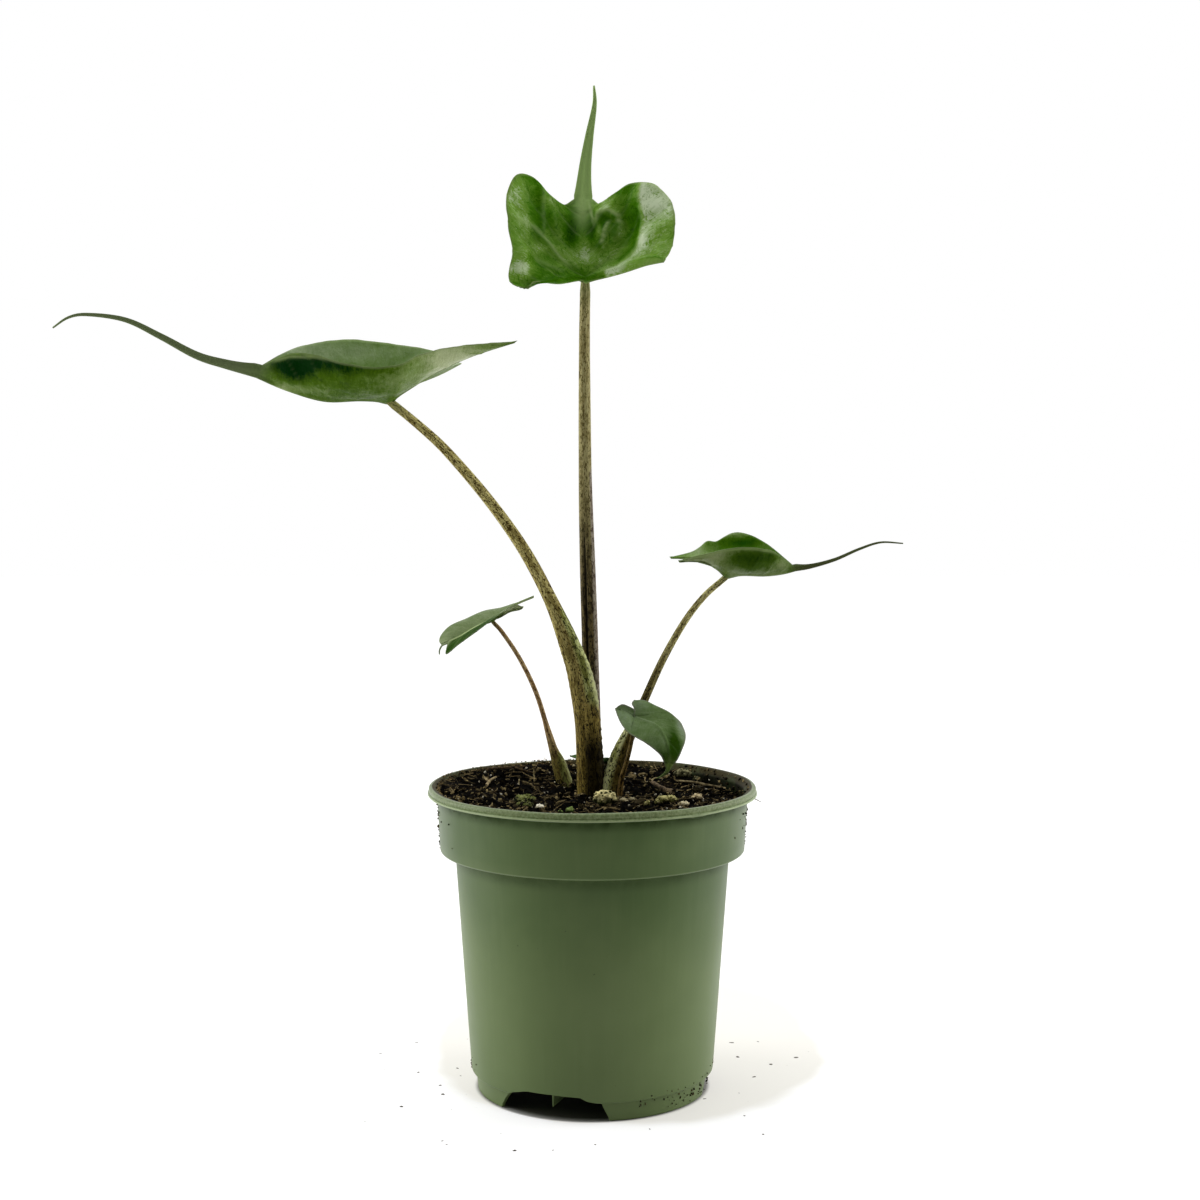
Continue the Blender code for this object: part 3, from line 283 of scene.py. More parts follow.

# How each leaf looks; lengths in mm, places in (x, z) from the end of its stem. upper, lower: the deep, middle and
# bright green of each face, at TONES. folds: half of the blade, line, height, width on the line's right and left,
# share of the line at which it starts to fade, how pale its crest is as a painted highlight, and how bright (+) or
# deep (-) its right and left are as painted light and shade. spots: half, middle, half sizes, height, and how bright
# or deep the green is, partly the leaf's own patches and partly painted highlights and shade. half is 1 or -1, for
# the first or second side, or 0 for both. half_painted_light: painted light and shade over each whole half.
# LEAF_BASE holds what most leaves share.
TONES = (0.0, 0.4, 0.7, 1.0)
LEAF_BASE = dict(
    web=(0, 0, 0), wrinkle=0.06, rim_pale=0.5, rib_from=(-900, -899), rib_until=(900, 901), knuckle=0.8,
    half_painted_light=(0, 0), flap_veins=3, vein_width=0.3, quilt=0.08, sunk=0.03, wave=0.1, folds=(), spots=(),
)
DRESS = {
    "top_leaf": dict(
        # The brightest upper stop is a painted sheen, for the pale outer zone on the right
        upper=((16, 62, 0), (62, 114, 0), (116, 156, 52), (214, 230, 192)),
        lower=((40, 72, 12), (76, 102, 40), (120, 142, 86), (150, 166, 120)), pale=(158, 184, 116),
        web=(0.2, -1.2, -2), wrinkle=0.2, tail_shade=(146, 176, 104), tail_share=0.85, rim=(150, 172, 104),
        rib_pale=0.85, rib_from=(14, 27), gloss=(0.26, 0.4), rib_width=3.2, keel=1.1, veins=7, vein_curve=9,
        vein_width=0.4, vein_pale=0.22, quilt=0.25, sunk=0.15, wave=0.08, lump=0.8, lump_size=7,
        folds=[
            (-1, [(20.5, 37), (21, 30), (23.4, 22), (24.2, 16.5), (23.2, 11.8), (20.2, 7.4), (14.2, 4.2), (6, 1.8)],
             6.5, 5, 14, 0.5, 0.45, -0.75, 1.15),
            (1, [(-16, 36), (-16.2, 19.5), (-15.5, 13)], 1.6, 3, 6, 0.5, 0.3, -0.2, 0.5),
            (1, [(-26.8, 20.6), (-20.2, 18), (-15.2, 13.6), (-11.8, 9.9), (-7.4, 5.5), (-2.9, 2.6)], 1.5, 3, 3, 0.4,
             0.85, 0.1, 0.2),
            (-1, [(4, 20), (5.6, 23.6), (9, 25), (12.4, 23), (13.6, 18.6), (12, 14.4)], 2, 1.3, 1.5, 0.8, 1, -0.9,
             0.9),
            (-1, [(6.2, 12), (7.4, 17), (9.8, 21.6)], 2, 1, 1.4, 0.8, 1.3, 1.9, -1.4),
            (-1, [(9.6, 11.5), (10.8, 16), (11.2, 20)], 1.2, 0.9, 1, 0.8, 0.15, 0.9, -0.9),
            (1, [(-12.5, 25), (-11, 18), (-8, 12)], 0.8, 2, 2, 0.6, 0.1, -0.2, 0.1),
            (1, [(-19, 7), (-13, 3.6), (-6.5, 1.6)], 0.8, 1.6, 2, 0.5, 0.3, 0, 0.3),
            (-1, [(14, 3.4), (8.6, 2.6), (3, 1.8)], 0.5, 1.2, 2, 0.5, 0.25, 0, 0.2),
            (-1, [(0.9, 31), (1.8, 26), (3.2, 21.5), (4.6, 18)], 0, 1.2, 1.2, 0.7, 1.2, 0.8, 0.8),
            (-1, [(10.5, 9), (6.5, 5.4), (2, 2.8)], 0.4, 1.2, 1.2, 0.5, 0.25, 0, 0.1),
            (1, [(-8, 10), (-4.8, 5.8), (-1.6, 2.2)], 0.4, 1.2, 1.2, 0.5, 0.25, 0, 0.1),
        ],
        spots=[
            (-1, 8.5, 18.5, 5, 6, 1.4, 0.1), (1, -22.5, 5, 3, 6, 2.6, 0.75), (1, -13, 28, 5, 3, 0, 0.5),
            (-1, 9.5, 28, 5.5, 3, 0, 0.45), (1, -5, 16, 2, 6, -0.9, -1.1), (-1, 2.6, 18.5, 1.6, 5.5, -0.9, -1),
            (1, -14, 6, 7, 3, -0.8, -0.3), (1, -25.5, 22, 3, 12, 0, 0.5), (-1, 31, 27, 6, 7, 0, 0.7),
            (0, 0, 9, 17, 5.5, 0, 0.75), (-1, 14, 9, 5, 3, 0, 0.4), (-1, 9, 4.5, 5, 3, 0, 0.7),
            (-1, 24, 3, 8, 4, 0, -0.35), (-1, 15, 1, 5, 2.5, 0, -0.4), (-1, 20, 32, 5, 5, 0, 0.45),
            (1, -22.6, 18.5, 2.4, 5, 0, 0.45), (1, -26, 31.5, 5, 5, 0, 0.5), (1, -17, 10.7, 2.5, 2, 0, 0.35),
            (1, -26, 2, 7, 3, 0, 0.8), (1, -22, 19, 1, 5, 0.4, 0.35), (1, -15, 21, 4, 5, 0, -0.5),
            (-1, 5.2, 16.5, 1.6, 3, 0.3, 1.1), (0, 0, 8, 1.2, 9, 0, 0.12), (-1, 24, 28, 6, 5, 0, 0.2),
            (1, -25, 31.5, 6, 6, 0, 0.25), (-1, 8, 25.5, 5, 4, 0, 0.35), (0, 0, 11, 8, 3.5, 0, 0.15),
            (1, -21.5, 5.2, 2.5, 2.5, 0, -0.5), (-1, 22.6, 11, 2, 4, 0, 0.8),
        ],
    ),
    "left_leaf": dict(
        upper=((40, 76, 8), (96, 124, 60), (126, 148, 98), (164, 180, 142)),
        lower=((0, 38, 0), (68, 98, 10), (120, 142, 78), (174, 186, 140)), pale=(150, 166, 112),
        tail_shade=(104, 116, 82), tail_share=0.9, rim=(138, 156, 104), rib_pale=0.12, wrinkle=0.1, gloss=(0.3, 0.42),
        rib_width=1.2, keel=1, veins=9, flap_veins=4, vein_curve=9, vein_width=0.4, vein_pale=0.08, quilt=0.1,
        sunk=0.08, lump=0.6, lump_size=8,
        folds=[
            (1, [(-42, 13.2), (-33.5, 15), (-24, 14.6), (-13, 12.6), (-4, 11.2), (4, 11.4), (13, 14.6), (24, 17.4),
             (36, 19.4)], 0, 1, 1, 0.9, 0.5, 0, 0),
        ],
        spots=[
            (1, -28, 4.4, 12, 2.2, 0, 0.5), (1, -17, 7.5, 6, 2.5, 0, 0.55), (1, -6, 10.2, 8, 1.4, 0, -0.5),
            (1, -34, 9.5, 8.5, 4, 0, -1.2), (1, -27, 12.5, 12, 2.4, 0, -1.3), (1, -14, 8, 8, 5, 0, -0.35),
            (1, -38, 4.5, 5, 2, 0, 0.6), (0, -38, 21, 8, 4, 0, 0.9), (1, -16, 8, 9, 3.5, 0, -0.4),
            (1, 8, 4.5, 7, 6, 0, 0.4), (-1, -16, 18, 16, 3.5, 0, 0.8), (0, 22, 13, 6, 8, 0, 0.5),
            (1, 26, 13, 16, 9, 0, 1.3), (-1, 22, 12, 15, 9, 0, 1.3), (1, -40, 8, 5, 3, 0, 0.5),
            (-1, -36, 18, 9, 5, 0, 0.6),
        ],
    ),
    "right_leaf": dict(
        upper=((28, 74, 0), (66, 106, 8), (104, 134, 58), (140, 160, 110)),
        lower=((22, 52, 0), (60, 88, 14), (104, 124, 66), (140, 154, 106)), pale=(146, 168, 104),
        tail_shade=(64, 66, 40), tail_share=0.9, rim=(118, 138, 88), rib_pale=0.35, gloss=(0.28, 0.4), rib_width=0.8,
        keel=0.7, veins=7, vein_curve=8, vein_width=0.35, vein_pale=0.03, wrinkle=0.1, quilt=0.06, sunk=0.06,
        wave=0.12, lump=0.4, lump_size=7,
        folds=[
            (-1, [(-14, 7), (-10.5, 7.9), (-2, 9.8), (4.5, 10.7), (11, 10.3), (16, 9.3), (20, 6.8)], 0, 1, 1, 0.9,
             0.95, 0, 0),
        ],
        spots=[
            (-1, 4, 9.5, 8, 1.5, 0, 0.5), (1, 8, 12, 8, 2.5, 0, -0.3), (-1, 2, 1.2, 4, 1.5, 0, 0.5),
            (-1, 8, 7, 11, 3.5, 0, -0.9), (-1, -12, 5, 9, 5, 0, 1.3), (-1, 2, 5, 5, 4.5, 0, 0.4),
            (-1, -4.5, 8, 4.5, 3, 0, 1.1), (-1, 13, 4, 6, 4, 0, 0.35), (-1, 20.5, 4.5, 3, 3, 0, 1.1),
            (-1, 12, 0, 12, 1.6, 0, 0.5), (1, 5, 15, 8, 2, 0, 1.1), (1, -11, 9, 6, 4, 0, 1.3),
            (1, 6, 11.5, 8, 1.6, 0, -0.7), (1, 15, 11, 4, 2, 0, 0.6),
        ],
    ),
    "small_left_leaf": dict(
        upper=((30, 60, 2), (76, 98, 48), (108, 122, 82), (130, 142, 106)),
        lower=((38, 64, 6), (76, 98, 34), (106, 124, 74), (172, 186, 138)), pale=(168, 184, 132),
        tail_shade=(92, 104, 74), tail_share=0.8, rim=(112, 122, 92), rib_pale=1, gloss=(0.38, 0.5), rib_width=0.6,
        keel=0.4, veins=7, vein_curve=7, vein_pale=0.1, wave=0, lump=0.2, lump_size=6, half_painted_light=(-0.9, 0.5),
        knuckle=0.4,
        spots=[
            (1, 10, 2.6, 6, 4, 0, 4),
        ],
    ),
    "small_front_leaf": dict(
        upper=((34, 62, 0), (84, 105, 60), (108, 126, 92), (138, 148, 126)),
        lower=((50, 70, 30), (84, 100, 62), (98, 114, 78), (112, 126, 94)), pale=(124, 142, 106),
        tail_shade=(88, 108, 40), tail_share=0.8, rim=(112, 116, 98), rim_pale=0.8, rib_pale=0.5, rib_until=(6, 13),
        gloss=(0.36, 0.48), rib_width=0.95, keel=0.4, veins=6, vein_curve=8, vein_pale=0.08, lump=0.3, lump_size=6,
        half_painted_light=(0, 0.1), knuckle=0.4,
        spots=[
            (1, 14.6, -7.5, 2.2, 5.5, 0, -1.8), (0, 12, -14.5, 6, 4.5, 0, -1.4), (-1, -4, 0, 4, 4, 0, 0.5),
            (1, 16.6, -3, 2.4, 5, 0, 1.5), (1, 3, 4, 5, 3, 0, 0.4),
        ],
    ),
    "back_leaf": dict(
        upper=((24, 54, 10), (44, 76, 26), (70, 98, 46), (96, 120, 72)),
        lower=((26, 52, 14), (44, 70, 28), (68, 92, 46), (90, 112, 66)), pale=(110, 130, 84), tail_shade=(60, 84, 42),
        tail_share=0.6, rim=(90, 104, 70), rib_pale=0.6, gloss=(0.34, 0.48), rib_width=0.5, keel=0.3, veins=5,
        flap_veins=2, vein_curve=5, vein_pale=0.1, quilt=0.1, sunk=0.05, lump=0.2, lump_size=5, knuckle=0.3,
    ),
}

# How each lump on the soil looks: how many knobs it has and their size in mm, its colour below, on top and in specks,
# and its slot. EXTRA_CRUMBS: middles and half sizes in mm of lumps that have no solid of their own.
CRUMB_LOOKS = {
    "crumb_clump": (110, 0.7, ((34, 40, 10), (212, 200, 144), (122, 124, 52)), "crumb"),
    "moss_clump": (110, 0.6, ((8, 9, 2), (104, 110, 56), (172, 172, 122)), "moss"),
    "perlite_grain": (10, 0.4, ((150, 142, 112), (232, 226, 204), (176, 168, 138)), "perlite"),
    "lichen_chip": (60, 0.6, ((84, 82, 38), (196, 188, 128), (118, 124, 58)), "crumb"),
    "cream_chip": (20, 0.45, ((140, 126, 92), (214, 204, 168), (150, 138, 104)), "perlite"),
    "bark_curl": (26, 0.5, ((52, 36, 20), (196, 180, 140), (86, 64, 38)), "bark"),
    "root_knot": (70, 0.6, ((50, 50, 28), (128, 124, 90), (84, 82, 52)), "moss"),
    "green_crumb": (24, 0.45, ((44, 56, 18), (128, 146, 80), (80, 96, 44)), "moss"),
    "grey_chips": (16, 0.4, ((88, 80, 56), (178, 168, 134), (120, 112, 84)), "perlite"),
}
EXTRA_CRUMBS = {
    "moss_clump": [(-24, -17, 106.6, 3.4, 2.2, 1.7)],
    "green_crumb": [(-7.8, -26.1, 106.6, 1.5, 1.2, 1.1), (-11, -27.4, 106.2, 0.9, 0.8, 0.7)],
    "grey_chips": [(11.5, -3.6, 106.2, 1.5, 1, 0.7), (14.6, -3, 106.3, 1.3, 1, 0.8),
        (12.6, -5.8, 106.1, 0.8, 0.7, 0.5), (-7.4, 49.3, 110, 0.8, 0.8, 0.6), (43.5, -14, 106.6, 0.8, 0.7, 0.6)],
    "root_knot": [(47.2, 38.3, 107.4, 2.2, 1.8, 2), (40.2, 36, 106.8, 1.6, 1.4, 1.2)],
    "lichen_chip": [(24.2, -8.8, 106.4, 1.4, 1.2, 1), (19.6, -12, 106.2, 1.1, 0.9, 0.7)],
}
# Each bit of dead wood: its shades, its branches as (x, y, height over the soil) points and its radius, all in mm
TWIG_LOOKS = {
    "twig_left": (((96, 80, 52), (176, 158, 118)), [[(-39.5, 12, 0.9), (-38.4, 17, 1.4), (-36.2, 22, 1.9)],
        [(-38.6, 16, 1.2), (-40.6, 19.5, 1.7)]], 0.6),
    "twig_right": (((66, 54, 38), (128, 110, 82)), [[(29.7, 7, 1.3), (26, 15, 1.7), (22.3, 24, 1.6)]], 1),
    "pale_root": (((84, 72, 46), (152, 138, 102)), [[(31.9, 30.9, 1), (38.5, 27.6, 1.5), (44, 22.5, 1.3),
        (50.1, 18.4, 1.2)]], 0.5),
    "dark_root": (((34, 24, 12), (84, 68, 42)), [[(-40.5, 31, 1.6), (-34, 36, 2), (-26, 41, 1.6)], [(-30, 38, 1.6),
        (-22.5, 36, 0.9)]], 0.55),
    "pale_sprigs": (((110, 98, 62), (178, 164, 122)), [[(-27.8, 20, -0.4), (-27.6, 21.5, 2.4)], [(-22.2, 29, -0.4),
        (-22.4, 30, 4)], [(22.5, 30, 0.6), (24, 31.5, 1.2), (27, 33, 0.9)]], 0.32),
}
# Dirt on the pot: side in degrees from -Y towards +X, lowest and highest level in mm, how many bits
POT_DIRT = [(-86, 88, 110, 34), (87, 90, 109, 38), (30, 4, 9, 12), (46, 2, 9, 26), (62, 1, 9, 40), (80, 2, 12, 22),
            (-80, 6, 14, 12), (-66, 92, 107, 4), (72, 96, 106, 6)]
FLAKE_COUNT, CHUNK_COUNT, FIBRE_COUNT, GRAIN_COUNT, WALL_COUNT = 1500, 90, 420, 120, 420
RIM_COUNT, STICK_COUNT = 560, 90
LONG_STICK = ((58.4, -6.0, 107.3), (61.4, -6.2, 105.8), 0.2)  # foot, end and radius in mm, over the rim at the right
WALL_SOIL_RADIUS = 54  # mm, where the soil's height beside the wall is read
TWIG_ROWS, TWIG_SIDES = 22, 10
# Loose stuff: its dark and light shade, its slot, and whether it is smooth
LITTER_LOOKS = {
    "pot_dirt": ((22, 16, 9), (96, 84, 58), "soil", True),
    "bark_flakes": ((5, 3, 1), (160, 142, 98), "bark", False),
    "peat_fibres": ((24, 16, 8), (150, 132, 92), "bark", True),
    "pale_grains": ((120, 112, 84), (226, 220, 200), "perlite", False),
    "rim_bits": ((14, 10, 4), (164, 140, 94), "bark", True),
}


# Small tools


def unit(vectors):
    return vectors / np.maximum(np.linalg.norm(vectors, axis=-1, keepdims=True), 1e-12)


def way_of(angle):
    """The unit (x, y) direction at an angle from -Y towards +X."""
    return np.array([math.sin(angle), -math.cos(angle)])


def smooth_step(value, low, high):
    t = np.clip((value - low) / (high - low), 0, 1)
    return t * t * (3 - 2 * t)


def smooth_path(points, count):
    """Evenly spaced samples, in metres, of the Catmull-Rom curve through points given in millimetres."""
    knots = np.array(points, float) * MM
    knots = np.vstack([2 * knots[0] - knots[1], knots, 2 * knots[-1] - knots[-2]])
    place = np.linspace(0, len(points) - 1, 24 * len(points))
    span = np.minimum(place.astype(int), len(points) - 2)
    t = (place - span)[:, None]
    a, b, c, d = (knots[span + step] for step in range(4))
    fine = 0.5 * (2 * b + (c - a) * t + (2 * a - 5 * b + 4 * c - d) * t**2 + (3 * b - a - 3 * c + d) * t**3)
    run = np.concatenate([[0], np.cumsum(np.linalg.norm(np.diff(fine, axis=0), axis=1))])
    even = np.linspace(0, run[-1], count)
    return np.stack([np.interp(even, run, fine[:, axis]) for axis in range(3)], axis=1)


def soft_noise(points, scale, seed=0.0):
    """Smooth noise from -1 to 1 at each point; scale is the size of its lumps in millimetres."""
    shift = Vector((seed, 2.3 * seed, -1.7 * seed))
    return np.array([noise.noise(Vector(point) / (scale * MM) + shift) for point in points])


def distance_to_line(x, y, line):
    """(signed distance, share along) from each point to a polyline; positive lies right of its direction."""
    best = np.full(x.shape, np.inf)
    signed, along = np.zeros(x.shape), np.zeros(x.shape)
    for i, ((ax, ay), (bx, by)) in enumerate(zip(line, line[1:])):
        dx, dy = bx - ax, by - ay
        t = np.clip(((x - ax) * dx + (y - ay) * dy) / (dx * dx + dy * dy), 0, 1)
        away = np.hypot(x - ax - t * dx, y - ay - t * dy)
        side = np.sign((x - ax) * dy - (y - ay) * dx)
        nearer = away < best
        best = np.where(nearer, away, best)
        signed = np.where(nearer, away * side, signed)
        along = np.where(nearer, (i + t) / (len(line) - 1), along)
    return signed, along


# Meshes


class Sheet:
    """Points, faces and named values of one mesh while it is being built."""

    def __init__(self):
        self.points, self.faces, self.values, self.count = [], [], {}, 0

    def add(self, points, faces, **values):
        points = np.asarray(points, float).reshape(-1, 3)
        self.faces += [tuple(int(i) + self.count for i in face) for face in faces]
        self.points.append(points)
        for name, value in values.items():
            value = np.asarray(value, float)
            value = value.ravel() if value.ndim else value
            self.values.setdefault(name, []).append(np.broadcast_to(value, len(points)))
        self.count += len(points)

    def arrays(self):
        return np.vstack(self.points), {name: np.concatenate(parts) for name, parts in self.values.items()}


def grid_faces(rows, columns, closed=False, flip=False):
    faces = []
    for i in range(rows - 1):
        for j in range(columns if closed else columns - 1):
            k = (j + 1) % columns
            face = (i * columns + j, (i + 1) * columns + j, (i + 1) * columns + k, i * columns + k)
            faces.append(face[::-1] if flip else face)
    return faces


def weld(points, faces, values):
    """Joins points that coincide and drops what the joining flattens."""
    _, first, place = np.unique(np.round(points * 1e6).astype(int), axis=0, return_index=True, return_inverse=True)
    place = place.reshape(-1).tolist()
    merged = (tuple(dict.fromkeys(place[i] for i in face)) for face in faces)
    kept = [face for face in merged if len(face) > 2]
    return points[first], kept, {name: value[first] for name, value in values.items()}


def normals_of(points, faces):
    total = np.zeros_like(points)
    for size in (3, 4):
        some = np.array([face for face in faces if len(face) == size], int).reshape(-1, size)
        corners = points[some]
        normal = np.cross(corners[:, 2] - corners[:, 0], corners[:, -1] - corners[:, 1])
        for i in range(size):
            np.add.at(total, some[:, i], normal)
    return unit(total)


def open_edges(faces):
    """The edges that only one face has, each in that face's direction."""
    seen = dict.fromkeys(edge for face in faces for edge in zip(face, face[1:] + face[:1]))
    return [(a, b) for a, b in seen if (b, a) not in seen]


def cross_ways(path):
    """Two unit directions square to the path at each of its points, carried along it without twist."""
    ahead = unit(np.gradient(path, axis=0))
    side = np.zeros_like(path)
    kept = np.cross(ahead[0], (0, -1, 0) if abs(ahead[0][1]) < 0.9 else (0, 0, 1))
    for i in range(len(path)):
        kept = kept - ahead[i] * (kept @ ahead[i])
        kept = side[i] = kept / np.linalg.norm(kept)
    return side, np.cross(ahead, side)


def rings_round(path, angle):
    """Unit directions at each angle round each point of the path."""
    side, up = cross_ways(path)
    return side[:, None] * np.cos(angle)[:, None] + up[:, None] * np.sin(angle)[:, None]


def turn_angles(count):
    return np.linspace(0, math.tau, count, endpoint=False)


def tube_grid(path, radius, around):
    """Points of a tube; radius is an array of one row for each path point, with one or more columns around it."""
    ring = rings_round(path, turn_angles(around))
    return path[:, None] + ring * np.asarray(radius).reshape(len(path), -1)[:, :, None]


def tube_faces(rows, around):
    """Outward faces of a tube's grid, with its two ends closed."""
    ends = [tuple(range(around)), tuple(reversed(range((rows - 1) * around, rows * around)))]
    return grid_faces(rows, around, closed=True, flip=True) + ends


def ball_mesh(subdivisions):
    ball = bmesh.new()
    bmesh.ops.create_icosphere(ball, subdivisions=subdivisions, radius=1.0)
    points = np.array([vertex.co for vertex in ball.verts])
    faces = [tuple(vertex.index for vertex in face.verts) for face in ball.faces]
    ball.free()
    return points, faces


def new_mesh(name, points, faces):
    mesh = bpy.data.meshes.new(name)
    mesh.from_pydata([tuple(point) for point in points], [], faces)
    return mesh


def set_values(mesh, values):
    """Gives each point of a mesh its named values, for the materials to read."""
    for key, value in values.items():
        value = np.asarray(value, np.float32)
        kind, field = ("FLOAT_VECTOR", "vector") if value.ndim == 2 else ("FLOAT", "value")
        mesh.attributes.new(key, kind, "POINT").data.foreach_set(field, value.ravel())


def add_object(name, data):
    made = bpy.data.objects.new(name, data)
    bpy.context.scene.collection.objects.link(made)
    return made


def set_surface(mesh, material, smooth=True):
    """Gives a whole mesh one material, and smooth or flat shading."""
    mesh.materials.clear()
    mesh.materials.append(material)
    mesh.polygons.foreach_set("material_index", [0] * len(mesh.polygons))
    mesh.polygons.foreach_set("use_smooth", [smooth] * len(mesh.polygons))


def make_piece(name, points, faces, material, replaces=(), values=None, smooth=True):
    mesh = new_mesh(name, points, faces)
    mesh.validate()
    set_values(mesh, values or {})
    set_surface(mesh, material, smooth)
    piece = add_object(name, mesh)
    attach(piece, "root")
    if replaces:
        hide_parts(*replaces)


# Materials


class Nodes:
    """Builds the node tree of one material, or of the world, with short calls."""

    def __init__(self, name, store="materials"):
        self.owner = getattr(bpy.data, store).new(name)
        self.owner.use_nodes = True
        self.tree = self.owner.node_tree
        self.shader = self.tree.nodes.get("Principled BSDF")

    def node(self, kind, inputs=(), **settings):
        made = self.tree.nodes.new("ShaderNode" + kind)
        for key, value in settings.items():
            setattr(made, key, value)
        for socket, value in dict(inputs).items():
            self.link(value, made.inputs[socket])
        return made

    def link(self, value, socket):
        if isinstance(value, bpy.types.NodeSocket):
            self.tree.links.new(value, socket)
        else:
            socket.default_value = value

    def set(self, **values):
        for key, value in values.items():
            self.link(value, self.shader.inputs[key.replace("_", " ")])

    def finish(self, shade, roughness, gloss, *bumps):
        """Sets the shader up, with (height, strength, distance) bumps one on another, and gives the material."""
        self.set(Base_Color=shade, Roughness=roughness, Specular_IOR_Level=gloss)
        below = {}
        for height, strength, distance in bumps:
            bump = self.node("Bump", {"Height": height, "Strength": strength, "Distance": distance, **below})
            below = {"Normal": bump.outputs["Normal"]}
        self.set(**below)
        return self.owner

    def value(self, name):
        return self.node("Attribute", attribute_name=name).outputs["Fac"]

    def vector(self, name):
        return self.node("Attribute", attribute_name=name).outputs["Vector"]

    def place(self):
        return self.node("TexCoord").outputs["Object"]

    def split(self, vector, axis):
        return self.node("SeparateXYZ", {0: vector}).outputs[axis]

    def length(self, vector):
        return self.node("VectorMath", {0: vector}, operation="LENGTH").outputs["Value"]

    def facing(self):
        """0 where a face looks at the viewer and 1 where it is seen edge on."""
        return self.node("LayerWeight", {"Blend": 0.5}).outputs["Facing"]

    def rays(self, *kinds):
        """1 for rays of any of these kinds."""
        path = self.node("LightPath").outputs
        total = path[kinds[0]]
        for kind in kinds[1:]:
            total = self.larger(total, path[kind])
        return total

    def math(self, operation, a, b=0.0):
        return self.node("Math", {0: a, 1: b}, operation=operation).outputs[0]

    def times(self, a, b):
        return self.math("MULTIPLY", a, b)

    def plus(self, a, b):
        return self.math("ADD", a, b)

    def larger(self, a, b):
        return self.math("MAXIMUM", a, b)

    def noise(self, vector, scale, detail=3.0, roughness=0.55, distortion=0.0):
        inputs = {"Vector": vector, "Scale": scale, "Detail": detail, "Roughness": roughness}
        return self.node("TexNoise", {**inputs, "Distortion": distortion}).outputs["Fac"]

    def drawn(self, vector, stretch, *settings):
        """Noise drawn out along the axes of a vector."""
        return self.noise(self.stretch(vector, stretch), 1.0, *settings)

    def stretch(self, vector, scale):
        return self.node("Mapping", {"Vector": vector, "Scale": scale}).outputs["Vector"]

    def step(self, value, low, high):
        """0 below low and 1 above high, smooth between; low may lie above high."""
        inputs = {"Value": value, "From Min": low, "From Max": high}
        return self.node("MapRange", inputs, interpolation_type="SMOOTHSTEP").outputs["Result"]

    def spread(self, value, low, high):
        """Carries 0 to 1 over to low to high."""
        return self.node("MapRange", {"Value": value, "To Min": low, "To Max": high}).outputs["Result"]

    def band(self, value, rise, fall):
        """1 between two levels, with soft ends."""
        return self.times(self.step(value, *rise), self.step(value, *fall))

    def line(self, value, middle, width):
        """1 where a noise crosses a value, as a thin line."""
        return self.step(self.math("ABSOLUTE", self.math("SUBTRACT", value, middle)), width, 0.0)

    def mix(self, share, first, second, kind="MIX"):
        made = self.node("Mix", data_type="RGBA", blend_type=kind)
        for socket, value in ((0, share), (6, first), (7, second)):
            self.link(colour(value) if isinstance(value, tuple) else value, made.inputs[socket])
        return made.outputs[2]

    def over(self, shade, top, mask, amount=1.0):
        """A shade laid over another by a mask."""
        return self.mix(self.times(mask, amount), shade, top)

    def ramp(self, value, *stops):
        made = self.node("ValToRGB", {"Fac": value})
        band = made.color_ramp.elements
        while len(band) < len(stops):
            band.new(0.5)
        for element, (place, shade) in zip(band, stops):
            element.position, element.color = place, colour(shade)
        return made.outputs["Color"]


def colour(shade):
    """A linear colour from one written as 0 to 255 sRGB."""
    parts = [part / 255 for part in shade]
    return (*(part / 12.92 if part <= 0.04045 else ((part + 0.055) / 1.055) ** 2.4 for part in parts), 1.0)


# Stage


def make_camera():
    data = bpy.data.cameras.new("camera")
    data.lens, data.sensor_width, data.clip_start = CAMERA_LENS, CAMERA_SENSOR, CAMERA_NEAR
    camera = add_object("camera", data)
    camera.location = CAMERA_PLACE
    camera.rotation_euler = CAMERA_TURN
    bpy.context.scene.camera = camera


def room_light(nodes, front, back, far_side):
    """A white background that is front strong on the camera's side and back strong past far_side."""
    along = nodes.split(nodes.node("TexCoord").outputs["Generated"], "Y")
    inputs = {"Value": along, "From Min": ROOM_START, "From Max": far_side, "To Min": front, "To Max": back}
    fade = nodes.node("MapRange", inputs, interpolation_type="SMOOTHSTEP").outputs["Result"]
    return nodes.node("Background", {"Color": colour(WHITE), "Strength": fade}).outputs[0]


def make_world():
    """A white studio: bright walls at the sides and behind, a dimmer room in front, and white where it shows."""
    nodes = Nodes("studio", "worlds")
    bpy.context.scene.world = nodes.owner
    nodes.tree.nodes.clear()
    lights = {1: room_light(nodes, *ROOM_LIGHT), 2: room_light(nodes, *ROOM_MIRRORED)}
    room = nodes.node("MixShader", {0: nodes.rays(*MIRRORED_RAYS), **lights})
    white = nodes.node("Background", {"Color": colour(WHITE)})
    shown = nodes.node("MixShader", {0: nodes.rays("Is Camera Ray"), 1: room.outputs[0], 2: white.outputs[0]})
    nodes.node("OutputWorld", {0: shown.outputs[0]})


def add_lamp(name, place, size, power):
    data = bpy.data.lights.new(name, "AREA")
    data.shape = "RECTANGLE"
    data.size, data.size_y = size
    data.energy = power
    lamp = add_object(name, data)
    lamp.location = place
    lamp.rotation_euler = (Vector(LAMP_TARGET) - Vector(place)).to_track_quat("-Z", "Y").to_euler()


